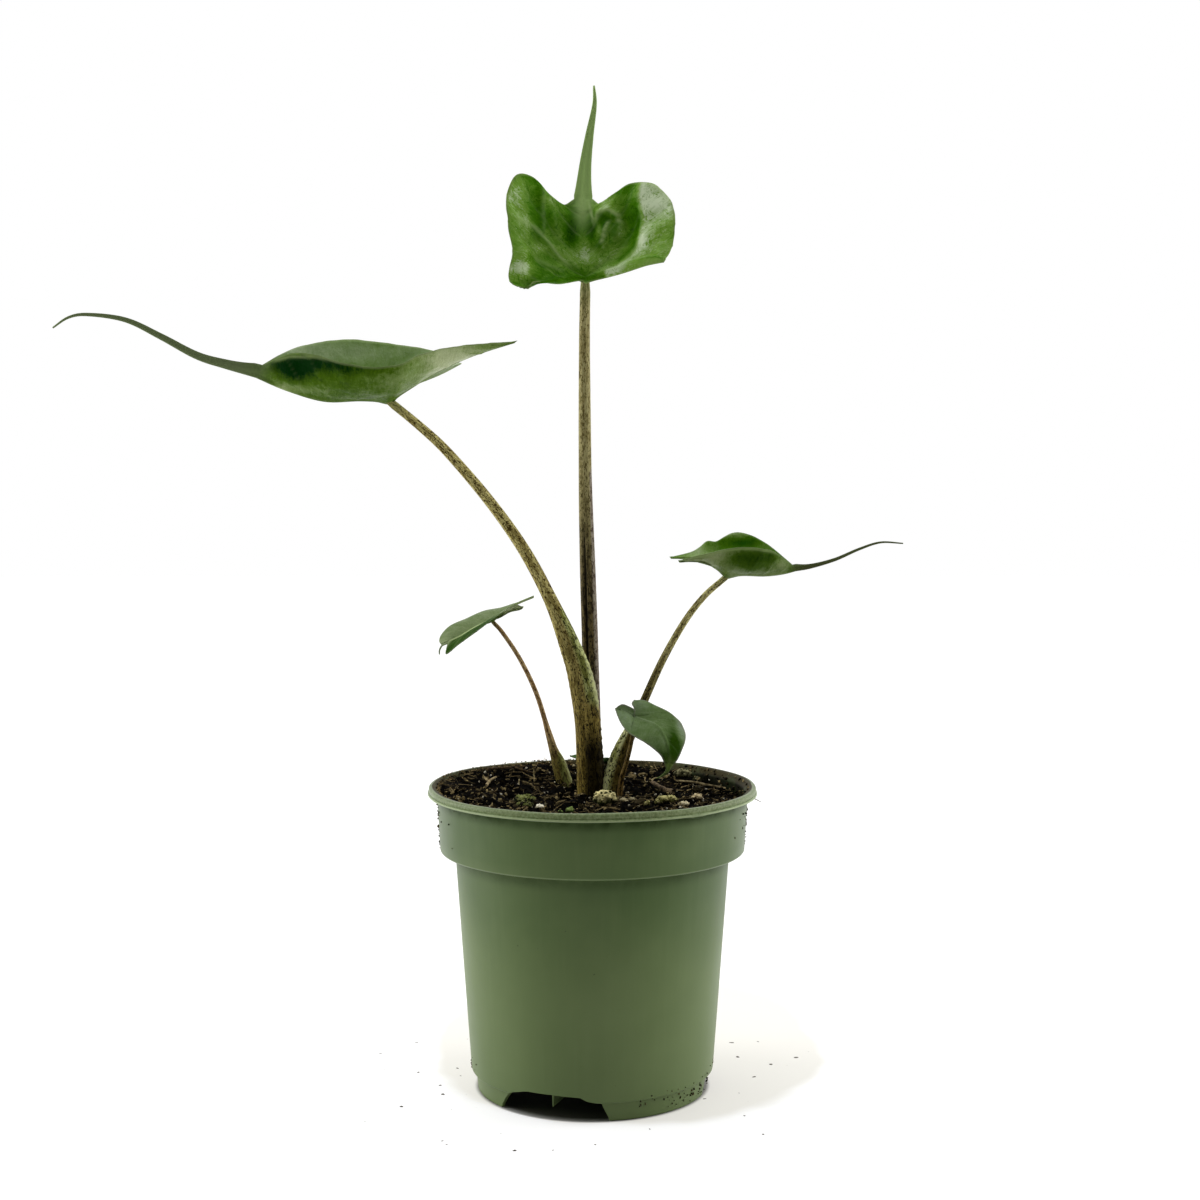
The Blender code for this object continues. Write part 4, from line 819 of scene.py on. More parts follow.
def make_floor():
    """White paper, with a painted shadow: warmer and dimmer in a patch round the pot, and darker under it."""
    nodes = Nodes("floor")
    place = nodes.place()
    away = nodes.length(place)
    offset = nodes.node("Mapping", {"Vector": place, "Location": (-0.013, -0.05, 0.0)}).outputs["Vector"]
    aside = nodes.length(nodes.stretch(offset, (0.92, 0.72, 1.0)))
    # Painted shadow: a warmer, dimmer patch on the floor round the pot
    shadow_patch = nodes.step(nodes.plus(aside, nodes.spread(nodes.noise(place, 12), -0.012, 0.012)), 0.074, 0.068)
    dirt = nodes.times(nodes.step(nodes.noise(place, 210, 1), 0.75, 0.77), nodes.step(away, 0.1, 0.08))
    seen = nodes.rays(*MIRRORED_RAYS)
    shadowed_paper = nodes.over(nodes.over(WHITE, PAPER_SHADOW, shadow_patch, 0.5), FLOOR_DIRT, dirt)
    # Painted shadow on the floor under the pot
    shadowed_paper = nodes.over(shadowed_paper, FLOOR_SHADOW_UNDER_POT, nodes.step(away, 0.0425, 0.038))
    # The painted shadow patch also takes some of the white lift away
    outside = nodes.math("SUBTRACT", 1.0, nodes.times(shadow_patch, 0.12))
    lit = nodes.times(nodes.times(nodes.step(away, 0.0418, 0.0438), outside), FLOOR_LIFT)
    nodes.set(Emission_Color=shadowed_paper, Emission_Strength=nodes.times(seen, lit))
    paper = nodes.finish(nodes.mix(1.0, nodes.mix(seen, PAPER, PAPER_SEEN), shadowed_paper, "MULTIPLY"), 0.85, 0.1)
    corners = [(x * FLOOR_HALF, y * FLOOR_HALF, 0) for x, y in ((-1, -1), (1, -1), (1, 1), (-1, 1))]
    floor = add_object("floor", new_mesh("floor", corners, [(0, 1, 2, 3)]))
    floor.data.materials.append(paper)
    floor.location.z = -FLOOR_DROP


# Pot


def rounded(corners, steps=4):
    """A line through (radius, height, fillet) corners, in mm, with each fillet drawn as a short arc."""
    places = [np.array(corner[:2], float) for corner in corners]
    points = [places[0]]
    for i in range(1, len(corners) - 1):
        here, fillet = places[i], corners[i][2]
        start = here + unit(places[i - 1] - here) * fillet
        end = here + unit(places[i + 1] - here) * fillet
        for t in np.linspace(0, 1, steps + 1) if fillet else (0.5,):
            points.append((1 - t) ** 2 * start + 2 * t * (1 - t) * here + t**2 * end)
    return split_runs([*points, places[-1]], 4.0)


def split_runs(points, longest):
    """The line with its long straight runs split, so that small waves can bend them."""
    made = [points[0]]
    for here in points[1:]:
        start = made[-1]
        count = max(1, math.ceil(np.linalg.norm(here - start) / longest))
        made += [start + (here - start) * (i + 1) / count for i in range(count)]
    return np.array(made)


def pot_profile():
    """The pot's section, in mm, from the middle of its floor up the inside, over the lip and down the outside."""
    top, lip, collar, wall, step = POT_HEIGHT, LIP_RADIUS, COLLAR_RADIUS, WALL, COLLAR_BOTTOM
    foot, under = FOOT_RADIUS, FLOOR_TOP - WALL
    return rounded([
        (0.0, FLOOR_TOP, 0), (BODY_BOTTOM_RADIUS - wall, FLOOR_TOP, 1.2), (BODY_TOP_RADIUS - wall, step + 0.4, 0.4),
        (collar - 1.1 - wall, step + wall + 0.2, 0.5), (collar - wall, top - 2.2, 0.6), (lip - 2.7, top - 0.25, 0.5),
        (lip - 1.2, top + 0.05, 0.7), (lip - 0.2, top - 0.4, 0.6), (lip - 0.25, top - 1.7, 0.3),
        (lip - 0.5, top - 2.0, 0.12), (lip + 0.12, top - 2.25, 0.12), (lip + 0.15, top - 2.8, 0.15),
        (lip - 0.6, top - 3.1, 0.1), (collar + 0.3, top - 3.05, 0.3), (collar, top - 4.4, 0.5),
        (collar - 1.05, step + 0.4, 0.35), (collar - 1.7, step - 0.05, 0.3),
        (BODY_TOP_RADIUS + 0.3, step - 0.5, 0.25), (BODY_TOP_RADIUS - 0.1, step - 1.8, 0.5),
        (BODY_BOTTOM_RADIUS, FOOT_HEIGHT + 0.3, 0.3),
        (BODY_BOTTOM_RADIUS - 0.5, FOOT_HEIGHT, 0.2), (foot + 0.3, FOOT_HEIGHT - 0.1, 0.2), (foot - 0.3, 0.0, 0.3),
        (foot - 1.5, 0.0, 0.2), (foot - 1.5, under, 0.3), (HUB_RADIUS, under, 0.3), (HUB_RADIUS, 0.0, 0.3),
        (0.0, 0.0, 0),
    ])


def loose_solid(name, points, faces):
    mesh = new_mesh(name, points, faces)
    build = bmesh.new()
    build.from_mesh(mesh)
    bmesh.ops.recalc_face_normals(build, faces=build.faces)
    build.to_mesh(mesh)
    build.free()
    return add_object(name, mesh)


def notch(middle):
    """A wedge for the gap between two feet: stations round the pot, each a loop of inner and outer points."""
    inside, outside = (FOOT_RADIUS - 3.0) * MM, (BODY_BOTTOM_RADIUS + 2.0) * MM
    loop = [(inside, level) for level in NOTCH_LEVELS] + [(outside, level) for level in reversed(NOTCH_LEVELS)]
    stations = []
    for t in np.linspace(0, 1, NOTCH_STEPS):
        for radius, (height, start, end) in loop:
            way = way_of(middle + math.radians(start + (end - start) * t))
            stations.append((*(radius * way), height * MM))
    size, levels = len(loop), len(NOTCH_LEVELS)
    faces = grid_faces(NOTCH_STEPS, size, closed=True)
    for start in (0, (NOTCH_STEPS - 1) * size):
        faces += [(start + i, start + i + 1, start + size - 2 - i, start + size - 1 - i) for i in range(levels - 1)]
    return np.array(stations), faces


def drain(angle):
    middle = np.array([*(DRAIN_RING * way_of(angle)), FLOOR_TOP - WALL / 2]) * MM
    path = middle + np.array([(0, 0, -2 * WALL * MM), (0, 0, 2 * WALL * MM)])
    return tube_grid(path, [DRAIN_RADIUS * MM] * 2, 20).reshape(-1, 3), tube_faces(2, 20)


def rib(angle):
    """A thin upright web under the floor, from the hub to the gap between two feet."""
    turn = Matrix.Rotation(angle, 3, "Z")
    ring = [(-0.2, 3.6), (0.2, 3.6), (0.35, FLOOR_TOP - WALL / 2), (-0.35, FLOOR_TOP - WALL / 2)]
    points = [turn @ Vector((x, -y, z)) * MM for y in (HUB_RADIUS - 0.8, FOOT_RADIUS - 2.6) for x, z in ring]
    return np.array(points), tube_faces(2, 4)


def combine(obj, others, operation):
    """Cuts the other solids from obj, or joins them to it, and removes them."""
    for other in others:
        boolean = obj.modifiers.new(other.name, "BOOLEAN")
        boolean.object, boolean.operation, boolean.solver = other, operation, "EXACT"
    mesh = bpy.data.meshes.new_from_object(obj.evaluated_get(bpy.context.evaluated_depsgraph_get()))
    obj.modifiers.clear()
    obj.data = mesh
    for other in others:
        bpy.data.objects.remove(other)


def pot_shell():
    """The turned body, slightly out of round towards its lip, with a small tab under the lip."""
    profile = pot_profile() * MM
    angle = turn_angles(POT_SIDES)
    radius, height = profile[:, :1], profile[:, 1:]
    loose = smooth_step(height, 0.02, POT_HEIGHT * MM)
    wide = radius * (1 + loose * (0.0022 * np.sin(2 * angle + 0.7) + 0.0012 * np.sin(3 * angle + 2.1)))
    lift = smooth_step(height, (POT_HEIGHT - 6) * MM, POT_HEIGHT * MM) * MM
    tall = height + lift * (0.16 * np.sin(3 * angle + 1) + 0.08 * np.sin(8 * angle))
    flange = (height < (POT_HEIGHT - 2.15) * MM) & (height > (POT_HEIGHT - 3.3) * MM)
    flange = flange & (radius > (COLLAR_RADIUS + 1) * MM)
    tall = tall - 0.7 * MM * flange * np.exp(-(((angle - TAB_SIDE) / 0.045) ** 2))
    points = np.stack([wide * np.sin(angle), -wide * np.cos(angle), tall], 2).reshape(-1, 3)
    points, faces, _ = weld(points, grid_faces(len(profile), POT_SIDES, closed=True), {})
    return loose_solid("pot_body", points, faces)


def make_pot():
    pot = pot_shell()
    middles = [NOTCH_MIDDLE + i * math.tau / FOOT_COUNT for i in range(FOOT_COUNT)]
    gaps = [loose_solid("gap", *notch(middle)) for middle in middles]
    holes = [drain(NOTCH_MIDDLE + (i + 0.5) * math.pi / FOOT_COUNT) for i in range(2 * FOOT_COUNT)]
    combine(pot, gaps + [loose_solid("hole", *hole) for hole in holes], "DIFFERENCE")
    combine(pot, [loose_solid("rib", *rib(middle)) for middle in middles], "UNION")
    points = np.array([vertex.co for vertex in pot.data.vertices]) / MM
    out, high = np.hypot(points[:, 0], points[:, 1]), points[:, 2]
    # Wear with a painted highlight along the lip's and the collar's lower edges
    wear_and_highlight = np.zeros(len(points))
    for radius, height, reach, amount in WEAR_AND_HIGHLIGHT_LINES:
        near = 1 - smooth_step(np.hypot(out - radius, high - height), 0.3 * reach, 1.6 * reach)
        wear_and_highlight = np.maximum(wear_and_highlight, amount * near)
    inside = smooth_step(high, FLOOR_TOP - 0.2, FLOOR_TOP) * (out < inner_radius(high) + 0.7)
    set_values(pot.data, {"wear_and_highlight": wear_and_highlight, "inside": inside})
    set_surface(pot.data, pot_material())
    pot.data.set_sharp_from_angle(angle=SHARP_EDGE)
    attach(pot, "root")
    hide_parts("pot")


def outer_radius(level):
    """Radius of the pot's outside, in mm, at a level in mm."""
    levels = (0, FOOT_HEIGHT, FOOT_HEIGHT + 1, COLLAR_BOTTOM - 1, COLLAR_BOTTOM + 1, POT_HEIGHT - 4)
    radii = (FOOT_RADIUS, FOOT_RADIUS + 0.3, BODY_BOTTOM_RADIUS, BODY_TOP_RADIUS, COLLAR_RADIUS - 1, COLLAR_RADIUS)
    return np.interp(level, levels, radii)


def inner_radius(level):
    """Radius of the pot's inside, in mm, at each level in mm."""
    levels = (FLOOR_TOP, COLLAR_BOTTOM + 0.4, COLLAR_BOTTOM + WALL + 0.2, POT_HEIGHT - 2.2, POT_HEIGHT)
    radii = (BODY_BOTTOM_RADIUS, BODY_TOP_RADIUS, COLLAR_RADIUS - 1.1, COLLAR_RADIUS, LIP_RADIUS - 1.0)
    return np.interp(level, levels, radii) - WALL


def pot_material():
    """Green plastic, painted darker up top and paler at the foot, painted shade under lip and collar, dirty inside.
    """
    nodes = Nodes("pot_green_plastic")
    place, inside = nodes.place(), nodes.value("inside")
    height = nodes.split(place, "Z")
    cloud, speck, grain = nodes.noise(place, 22), nodes.noise(place, 620, 2), nodes.noise(place, 1500)
    grit, grime = nodes.noise(place, 1100, 4, 0.65), nodes.noise(place, 160, 5, 0.65, 0.4)
    streak = nodes.drawn(place, (260, 260, 6), 4, 0.6)
    # Painted light: darker above BODY_LIGHT_FADE and paler towards the foot, as the floor's light falls on the pot
    shade = nodes.mix(nodes.step(height, *BODY_LIGHT_FADE), POT_UPPER_SHADED, POT_LOWER_LIT)
    shade = nodes.over(shade, POT_PALE, nodes.step(cloud, 0.35, 0.7), 0.12)
    shade = nodes.over(shade, POT_PALE, nodes.step(streak, 0.4, 0.75), 0.03)
    # Painted light on the lip's top, broken up by gritty noise
    lip = nodes.times(nodes.step(height, *LIP_BAND), nodes.spread(nodes.step(grit, 0.4, 0.6), 0.3, 0.75))
    shade = nodes.over(shade, POT_PALE, lip)
    # Painted shade under the lip and the collar, broken up by grime noise
    overhang_shade = nodes.larger(nodes.band(height, *UNDER_LIP), nodes.times(nodes.band(height, *UNDER_COLLAR), 0.55))
    shade_and_grime = nodes.times(overhang_shade, nodes.spread(nodes.step(grime, 0.35, 0.7), 0.6, 1.0))
    shade = nodes.over(shade, POT_SHADE_GRIME, shade_and_grime, 0.75)
    shade = nodes.over(shade, POT_SPECK, nodes.step(speck, 0.77, 0.8), 0.6)
    # Wear with a painted highlight along the lip's and the collar's lower edges
    shade = nodes.over(shade, POT_WEAR_HIGHLIGHT, nodes.value("wear_and_highlight"), 0.65)
    shade = nodes.over(shade, POT_SOILED, inside, nodes.spread(nodes.step(grime, 0.38, 0.6), 0.75, 1.0))
    rim = nodes.times(nodes.step(height, *CRUST_BAND), nodes.larger(inside, 0.3))
    shade = nodes.over(shade, POT_CRUST, nodes.times(rim, nodes.step(grime, 0.3, 0.5)), 0.85)
    high = nodes.spread(nodes.step(height, *SHEEN_BAND), 0.35, 1.0)
    flank = nodes.times(nodes.step(nodes.facing(), 0.5, 1.0), high)
    clean = nodes.times(nodes.spread(inside, 1.0, 0.0), nodes.spread(shade_and_grime, 1.0, 0.0))
    sheen = nodes.times(nodes.times(flank, clean), 0.7)
    gloss = nodes.plus(nodes.spread(nodes.larger(inside, shade_and_grime), 0.26, 0.03), sheen)
    bumps = (streak, 0.04, 0.0002), (cloud, 0.15, 0.001), (grain, 0.12, 0.00008), (grit, 0.1, 0.0001)
    return nodes.finish(shade, nodes.spread(nodes.noise(place, 90, 4), 0.42, 0.55), gloss, *bumps)


# Stems


def window(value, start, full, last, end):
    """0 below start and above end, and 1 from full to last."""
    return smooth_step(value, start, full) * (1 - smooth_step(value, last, end))


def make_stem(name, stem):
    """A petiole with its open sheath: broad thin flanks along its lower part, and a groove where they part."""
    low, middle, high = stem["radii"]
    tip = np.array(LEAVES[name.replace("stem", "leaf")]["stem_end"]) + stem["root"]
    route = [*stem["path"][: stem.get("points")], tuple(tip)]
    length = sum(math.dist(a, b) for a, b in zip(route, route[1:]))
    rows = int(length / STEM_STEP) + 2
    path = smooth_path(route, rows)
    share, level = np.linspace(0, 1, rows)[:, None], path[:, 2:] / MM
    radius = np.interp(share, (0, 0.12, 0.45, 0.95, 0.98, 1), (low, low, middle, high, high, 0.8 * high))
    angle = turn_angles(STEM_SIDES)
    ring = rings_round(path, angle)
    sheath, edge, groove, shaded_side = (np.zeros((rows, STEM_SIDES)) for _ in range(4))
    for toward, start, full, last, top, width, sharp, tinted in stem.get("flanks", ()):
        facing = np.clip(ring @ unit(np.array(toward, float)), 0, 1)
        rise = window(level, start, full, last, top)
        radius = radius + width * facing**sharp * rise * (1 + 0.04 * np.sin(level * 1.9) + 0.03 * np.sin(level * 5.3))
        sheath_top = stem.get("sheath_top", top)
        shown = window(level, start, full, sheath_top - 8, sheath_top)
        sheath = np.maximum(sheath, tinted * facing**sharp * np.maximum(rise, 0.9 * shown))
        edge = np.maximum(edge, tinted * facing**30 * rise)
    fade = smooth_step(level, *stem["sheath_from"])
    if "groove" in stem:
        toward, bottom, top, depth = stem["groove"]
        facing = np.clip(ring @ unit(np.array(toward, float)), 0, 1)
        groove = facing**44 * window(level, bottom, bottom + 14, top - 20, top)
        radius = radius - depth * groove
    # Painted shade on the side of the stem that lies in the dark, low down
    if "shaded_side" in stem:
        toward, low_cos, high_cos, last, end = stem["shaded_side"]
        facing = ring @ unit(np.array(toward, float))
        shaded_side = smooth_step(facing, low_cos, high_cos) * (1 - smooth_step(level, last, end))
    flutes = 0.05 * np.sin(9 * angle + 0.05 * level) + 0.03 * np.sin(14 * angle + 1.3 + 0.09 * level)
    radius = (radius + flutes * smooth_step(radius, 0.6, 1.6)) * MM
    points = path[:, None] + ring * radius[..., None]
    thick, along = radius[:, :1] / MM, np.linspace(0, length, rows)[:, None]
    values = {"sheath": sheath * fade, "edge": edge * fade, "groove": groove, "shaded_side": shaded_side}
    values |= {"upper": smooth_step(level, *stem["blend"]) + 0 * angle, "height": share + 0 * angle}
    values = {key: value.ravel() for key, value in values.items()}
    grain = np.stack([thick * np.cos(angle), thick * np.sin(angle), along + 0 * angle], 2).reshape(-1, 3)
    values["grain"] = grain + np.array([13.0, 7.0, 40.0]) * (1 + list(STEMS).index(name))
    skin = stem_material(name, stem)
    make_piece(name + "_petiole", points.reshape(-1, 3), tube_faces(rows, STEM_SIDES), skin, [name], values)


def stem_material(name, stem):
    """Mottled skin: olive ground with brown streaks and near-black flecks along the stem, and a paler sheath."""
    nodes = Nodes(name + "_skin")
    grain, upper = nodes.vector("grain"), nodes.value("upper")
    patches = nodes.drawn(grain, (0.55, 0.55, 0.14))
    streaks = nodes.drawn(grain, (1.5, 1.5, 0.17), 3, 0.6)
    marks = nodes.drawn(grain, (1.3, 1.3, 0.55), 3, 0.6, 0.7)
    small = nodes.drawn(grain, (2.6, 2.6, 1.0), 2, 0.5)
    ground, dark, fleck = (nodes.mix(upper, low, high) for low, high in zip(stem["low"], stem["high"]))
    brown = nodes.larger(nodes.step(patches, 0.5, 0.6), nodes.step(streaks, 0.53, 0.6))
    pale, mottle, spot = stem["sheath_shades"]
    green = nodes.over(pale, mottle, nodes.step(patches, 0.4, 0.62), 0.9)
    sheath = nodes.step(nodes.value("sheath"), 0.12, 0.5)
    shade = nodes.mix(sheath, nodes.over(ground, dark, brown, 0.8), green)
    flecked = nodes.larger(nodes.step(marks, 0.56, 0.58), nodes.step(small, 0.59, 0.61))
    shade = nodes.over(shade, nodes.mix(sheath, fleck, spot), flecked, 0.92)
    shade = nodes.over(shade, STEM_EDGE, nodes.value("edge"), stem["edge_pale"])
    # Painted shade: near-black in the groove's recess
    shade = nodes.over(shade, STEM_GROOVE_SHADE, nodes.value("groove"), 1.2)
    # Painted shade on the side that lies in the dark
    shade = nodes.over(shade, STEM_SHADED_SIDE, nodes.value("shaded_side"), 0.88)
    shade = nodes.over(shade, STEM_TIP, nodes.step(nodes.value("height"), 0.93, 1.0), 0.5)
    bumps = (streaks, 0.35, 0.0002), (marks, 0.3, 0.00012)
    return nodes.finish(shade, nodes.spread(marks, 0.4, 0.62), 0.04, *bumps)


# Leaves


def tail_half(leaf, start):
    """(centre line, edge) of one half of the tail, whose edge sets out from the margin's last point."""
    tail = smooth_path([leaf["midrib"][-1], *leaf["tail"]], TAIL_ROWS + 1)
    along = unit(np.gradient(tail, axis=0))
    begin = np.linalg.norm(start - tail[0])
    across = unit(start - tail[0] - along * (along @ (start - tail[0]))[:, None])
    share = np.linspace(0, 1, TAIL_ROWS + 1)
    narrow, tip = leaf["tail_width"] * MM / 2, TAIL_TIP_WIDTH * MM / 2
    width = (narrow + (begin - narrow) * np.exp(-leaf.get("flare", 9) * share)) * (1 - share) ** 0.8 + tip
    return tail[1:], (tail + across * width[:, None])[1:]


def between(rib, margin, columns):
    """(grid of points from a rib to a margin, share across at each of its columns)."""
    across = np.linspace(0, 1, columns + 1)[None, :, None]
    return rib[:, None] * (1 - across) + margin[:, None] * across, across


def half_blade(leaf, side, upward):
    """Rows of points from the rib to the margin of one half of a blade, from the lobe's tip to the tail's."""
    tip = np.array(side["margin"][0])
    lobe_rib = smooth_path([tip, tip * 0.5 + (0, 0, leaf["lobe_arch"]), (0, 0, 0)], LOBE_ROWS + 1)
    midrib = smooth_path([(0, 0, 0), *leaf["midrib"]], BLADE_ROWS - LOBE_ROWS + 1)
    margin = smooth_path(side["margin"], BLADE_ROWS + 1)
    tail, tail_edge = tail_half(leaf, margin[-1])
    rib = np.vstack([lobe_rib, midrib[1:], tail])
    margin = np.vstack([margin, tail_edge])
    facing = upward * unit(np.cross(unit(np.gradient(rib, axis=0)), margin - rib))
    reach = np.linalg.norm(margin - rib, axis=1)
    sag = leaf["cup"] * MM * reach / reach.max()
    flat, across = between(rib, margin, COLUMNS)
    return flat - (facing * sag[:, None])[:, None] * np.sin(math.pi * across)


def lobe_flap(side, rows, web):
    """Rows of points between a lobe's rib and the edge of the gap behind the stem, which starts at web."""
    edge = smooth_path([web, *side["sinus"], side["margin"][0]], LOBE_ROWS + 1)
    return between(rows[LOBE_ROWS::-1, 0], edge, FLAP_COLUMNS)[0]


def vein_field(rows, last, count, curve):
    """(distance in mm to the nearest side vein, its gap's half width in mm) over a grid of points.

    Veins leave the rib evenly between the first row and the row last, and bend forward as they near the margin.
    """
    across = np.linspace(0, 1, rows.shape[1])[None]
    place = (np.arange(len(rows))[:, None] - curve * across**1.6) / last * count
    gap = np.linalg.norm(np.gradient(rows, axis=0), axis=2) / MM * last / count
    away = np.abs(place - np.round(place))
    away = np.where((place < -0.5) | (place > count + 0.5), 0.5, away)
    return away * gap, gap / 2


def half_values(rows, dress, upward, flap=False):
    """Named values of each point of one grid, in mm where they are lengths."""
    steps = np.linalg.norm(np.diff(rows, axis=1), axis=2) / MM
    reach = np.concatenate([np.zeros((len(rows), 1)), np.cumsum(steps, axis=1)], axis=1)
    edge = reach[:, -1:] - reach
    run = np.concatenate([[0], np.cumsum(np.linalg.norm(np.diff(rows[:, 0], axis=0), axis=1))])[:, None] / MM
    off = np.linalg.norm(rows, axis=2) / MM
    row = np.arange(len(rows))[:, None] + 0 * reach
    if flap:
        away, gap = vein_field(rows, len(rows) - 1, dress["flap_veins"], 0)
        tail, lobe = 0 * reach, np.linspace(0, 1, len(rows))[:, None]
    else:
        away, gap = vein_field(rows, BLADE_ROWS, dress["veins"], dress["vein_curve"])
        tail, lobe = smooth_step(row, BLADE_ROWS - 8, BLADE_ROWS + 6), 1 - smooth_step(row, 0, LOBE_ROWS)
        off = np.where(row < LOBE_ROWS, off, reach)
    near_rib = smooth_step(reach, 0.2, 2.0)
    vein = np.exp(-((away / dress["vein_width"]) ** 2)) * (1 - tail) * (1 - 0.75 * reach / reach.max())
    inward = smooth_step(edge, 0, 5) * (1 - tail)
    wide = dress["rib_width"] * (1 - 0.65 * lobe)
    return {
        "vein": vein * near_rib,
        "dome": (1 - (1 - np.clip(away / gap, 0, 1)) ** 2) * inward * near_rib,
        "rib": np.maximum(np.exp(-((reach / wide) ** 2)) * (1 - 0.6 * lobe), tail),
        "keel": np.exp(-((reach / 0.9) ** 2)) * (1 - 0.85 * lobe) * (1 - 0.6 * tail),
        "rim": (1 - smooth_step(edge, 0.15, 0.8)) * (1 - 0.75 * tail),
        "edge": edge,
        "run": run + 0 * reach,
        "reach": reach,
        "off": off,
        "tail": tail,
        "half": np.full(reach.shape, float(upward)),
    }


def blade_sheet(leaf, dress):
    """The welded open sheet of both halves and both lobes, with its named values."""
    sheet = Sheet()
    for side, upward in zip(leaf["sides"], (1, -1)):
        rows = half_blade(leaf, side, upward)
        for grid, is_flap in ((rows, False), (lobe_flap(side, rows, dress["web"]), True)):
            faces = grid_faces(*grid.shape[:2], flip=upward < 0)
            sheet.add(grid, faces, **half_values(grid, dress, upward, is_flap))
    points, values = sheet.arrays()
    return weld(points, sheet.faces, values)


def shaped(points, faces, values, dress):
    """Raises the folds, blisters, veins and waves of one blade's upper face."""
    x, z = points[:, 0] / MM, points[:, 2] / MM
    half_side, reach, edge = values["half"], values["reach"], values["edge"]
    relief, tint_and_light, crest_highlight = (np.zeros(len(points)) for _ in range(3))
    body = 1 - values["tail"]
    # Each fold also paints shade on one side and light on the other, and a highlight along its crest
    for half, line, height, inner, outer, start, highlight, inner_light, outer_light in dress["folds"]:
        away, along = distance_to_line(x, z, line)
        fade = 1 - smooth_step(along, start, 1.0)
        crest = np.exp(-(np.sqrt(away**2 + 0.5) - 0.7) / np.where(away > 0, inner, outer)) * fade
        mine = smooth_step(half * half_side * values["off"], 0, 3) * body
        relief += height * crest * mine * smooth_step(edge, -8, 8)
        shade = inner_light * smooth_step(away, 0.2, 2.0) * np.exp(-away / inner) * (away > 0)
        shade += outer_light * smooth_step(-away, -0.6, 1.2) * np.exp(away / outer) * (away <= 0.6)
        tint_and_light += shade * mine * (1 - smooth_step(along, 0.96, 1.0))
        ends = window(along, 0, 0.06, 0.7, 1)
        crest_highlight = np.maximum(crest_highlight, highlight * np.exp(-((away / 0.55) ** 2)) * mine * ends)
    # Spots raise and tint the blade: partly its own patches, partly painted highlights and shade
    for half, px, pz, rx, rz, height, shade in dress["spots"]:
        near = np.exp(-(((x - px) / rx) ** 2) - ((z - pz) / rz) ** 2) * (half * half_side >= 0)
        relief += height * near * body * smooth_step(reach, 0, 2)
        tint_and_light += shade * near
    # Painted light and shade over each whole half
    tint_and_light += np.where(half_side > 0, *dress["half_painted_light"]) * smooth_step(reach, 0, 1.5)
    crease = soft_noise(points, dress["lump_size"], 3.1) * dress["lump"]
    crease += soft_noise(points, 0.45 * dress["lump_size"], 8.2) * dress["lump"] * 0.4
    relief += crease * smooth_step(reach, 0.5, 5) * smooth_step(edge, -1, 5) * body
    relief += dress["quilt"] * values["dome"] - dress["sunk"] * values["vein"]
    relief += 0.35 * np.exp(-((reach / (0.7 * dress["rib_width"])) ** 2)) * body
    wave = np.sin(values["run"] * 0.55 + 2 * half_side) + 0.6 * np.sin(values["run"] * 1.13 + 1)
    relief += dress["wave"] * wave * np.exp(-edge / 4) * smooth_step(reach, 2, 8) * body
    from_stem = np.linalg.norm(points, axis=1) / MM
    fading = np.maximum(1 - smooth_step(from_stem, *dress["rib_until"]), values["tail"])
    values["rib"] = values["rib"] * smooth_step(z, *dress["rib_from"]) * fading
    values |= {"tint_and_light": tint_and_light, "line": crest_highlight, "knuckle": np.exp(-((from_stem / 3) ** 2))}
    return points + normals_of(points, faces) * relief[:, None] * MM


def make_blade(name, leaf, dress):
    points, faces, values = blade_sheet(leaf, dress)
    points = shaped(points, faces, values, dress) + np.array(leaf["stem_end"]) * MM
    normals = normals_of(points, faces)
    thick = BLADE_THICK + 0.28 * smooth_step(values["edge"], 0, 2.5) + 0.25 * values["vein"]
    thick += dress["keel"] * values["keel"] + dress["knuckle"] * values["knuckle"]
    upper = points + normals * BLADE_RAISED * MM
    lower = points - normals * (thick - BLADE_RAISED)[:, None] * MM
    count = len(points)
    closed = faces + [tuple(i + count for i in reversed(face)) for face in faces]
    closed += [(b, a, a + count, b + count) for a, b in open_edges(faces)]
    doubled = {key: np.tile(values[key], 2) for key in ("vein", "rib", "rim", "tint_and_light", "line", "tail", "knuckle")}
    doubled["under"] = np.repeat([0.0, 1.0], count)
    doubled["grain"] = np.tile(np.stack([values["run"], values["reach"], 9 * values["half"]], 1), (2, 1))
    skin = leaf_material(name, dress)
    make_piece(name + "_blade", np.vstack([upper, lower]), closed, skin, [name], doubled)


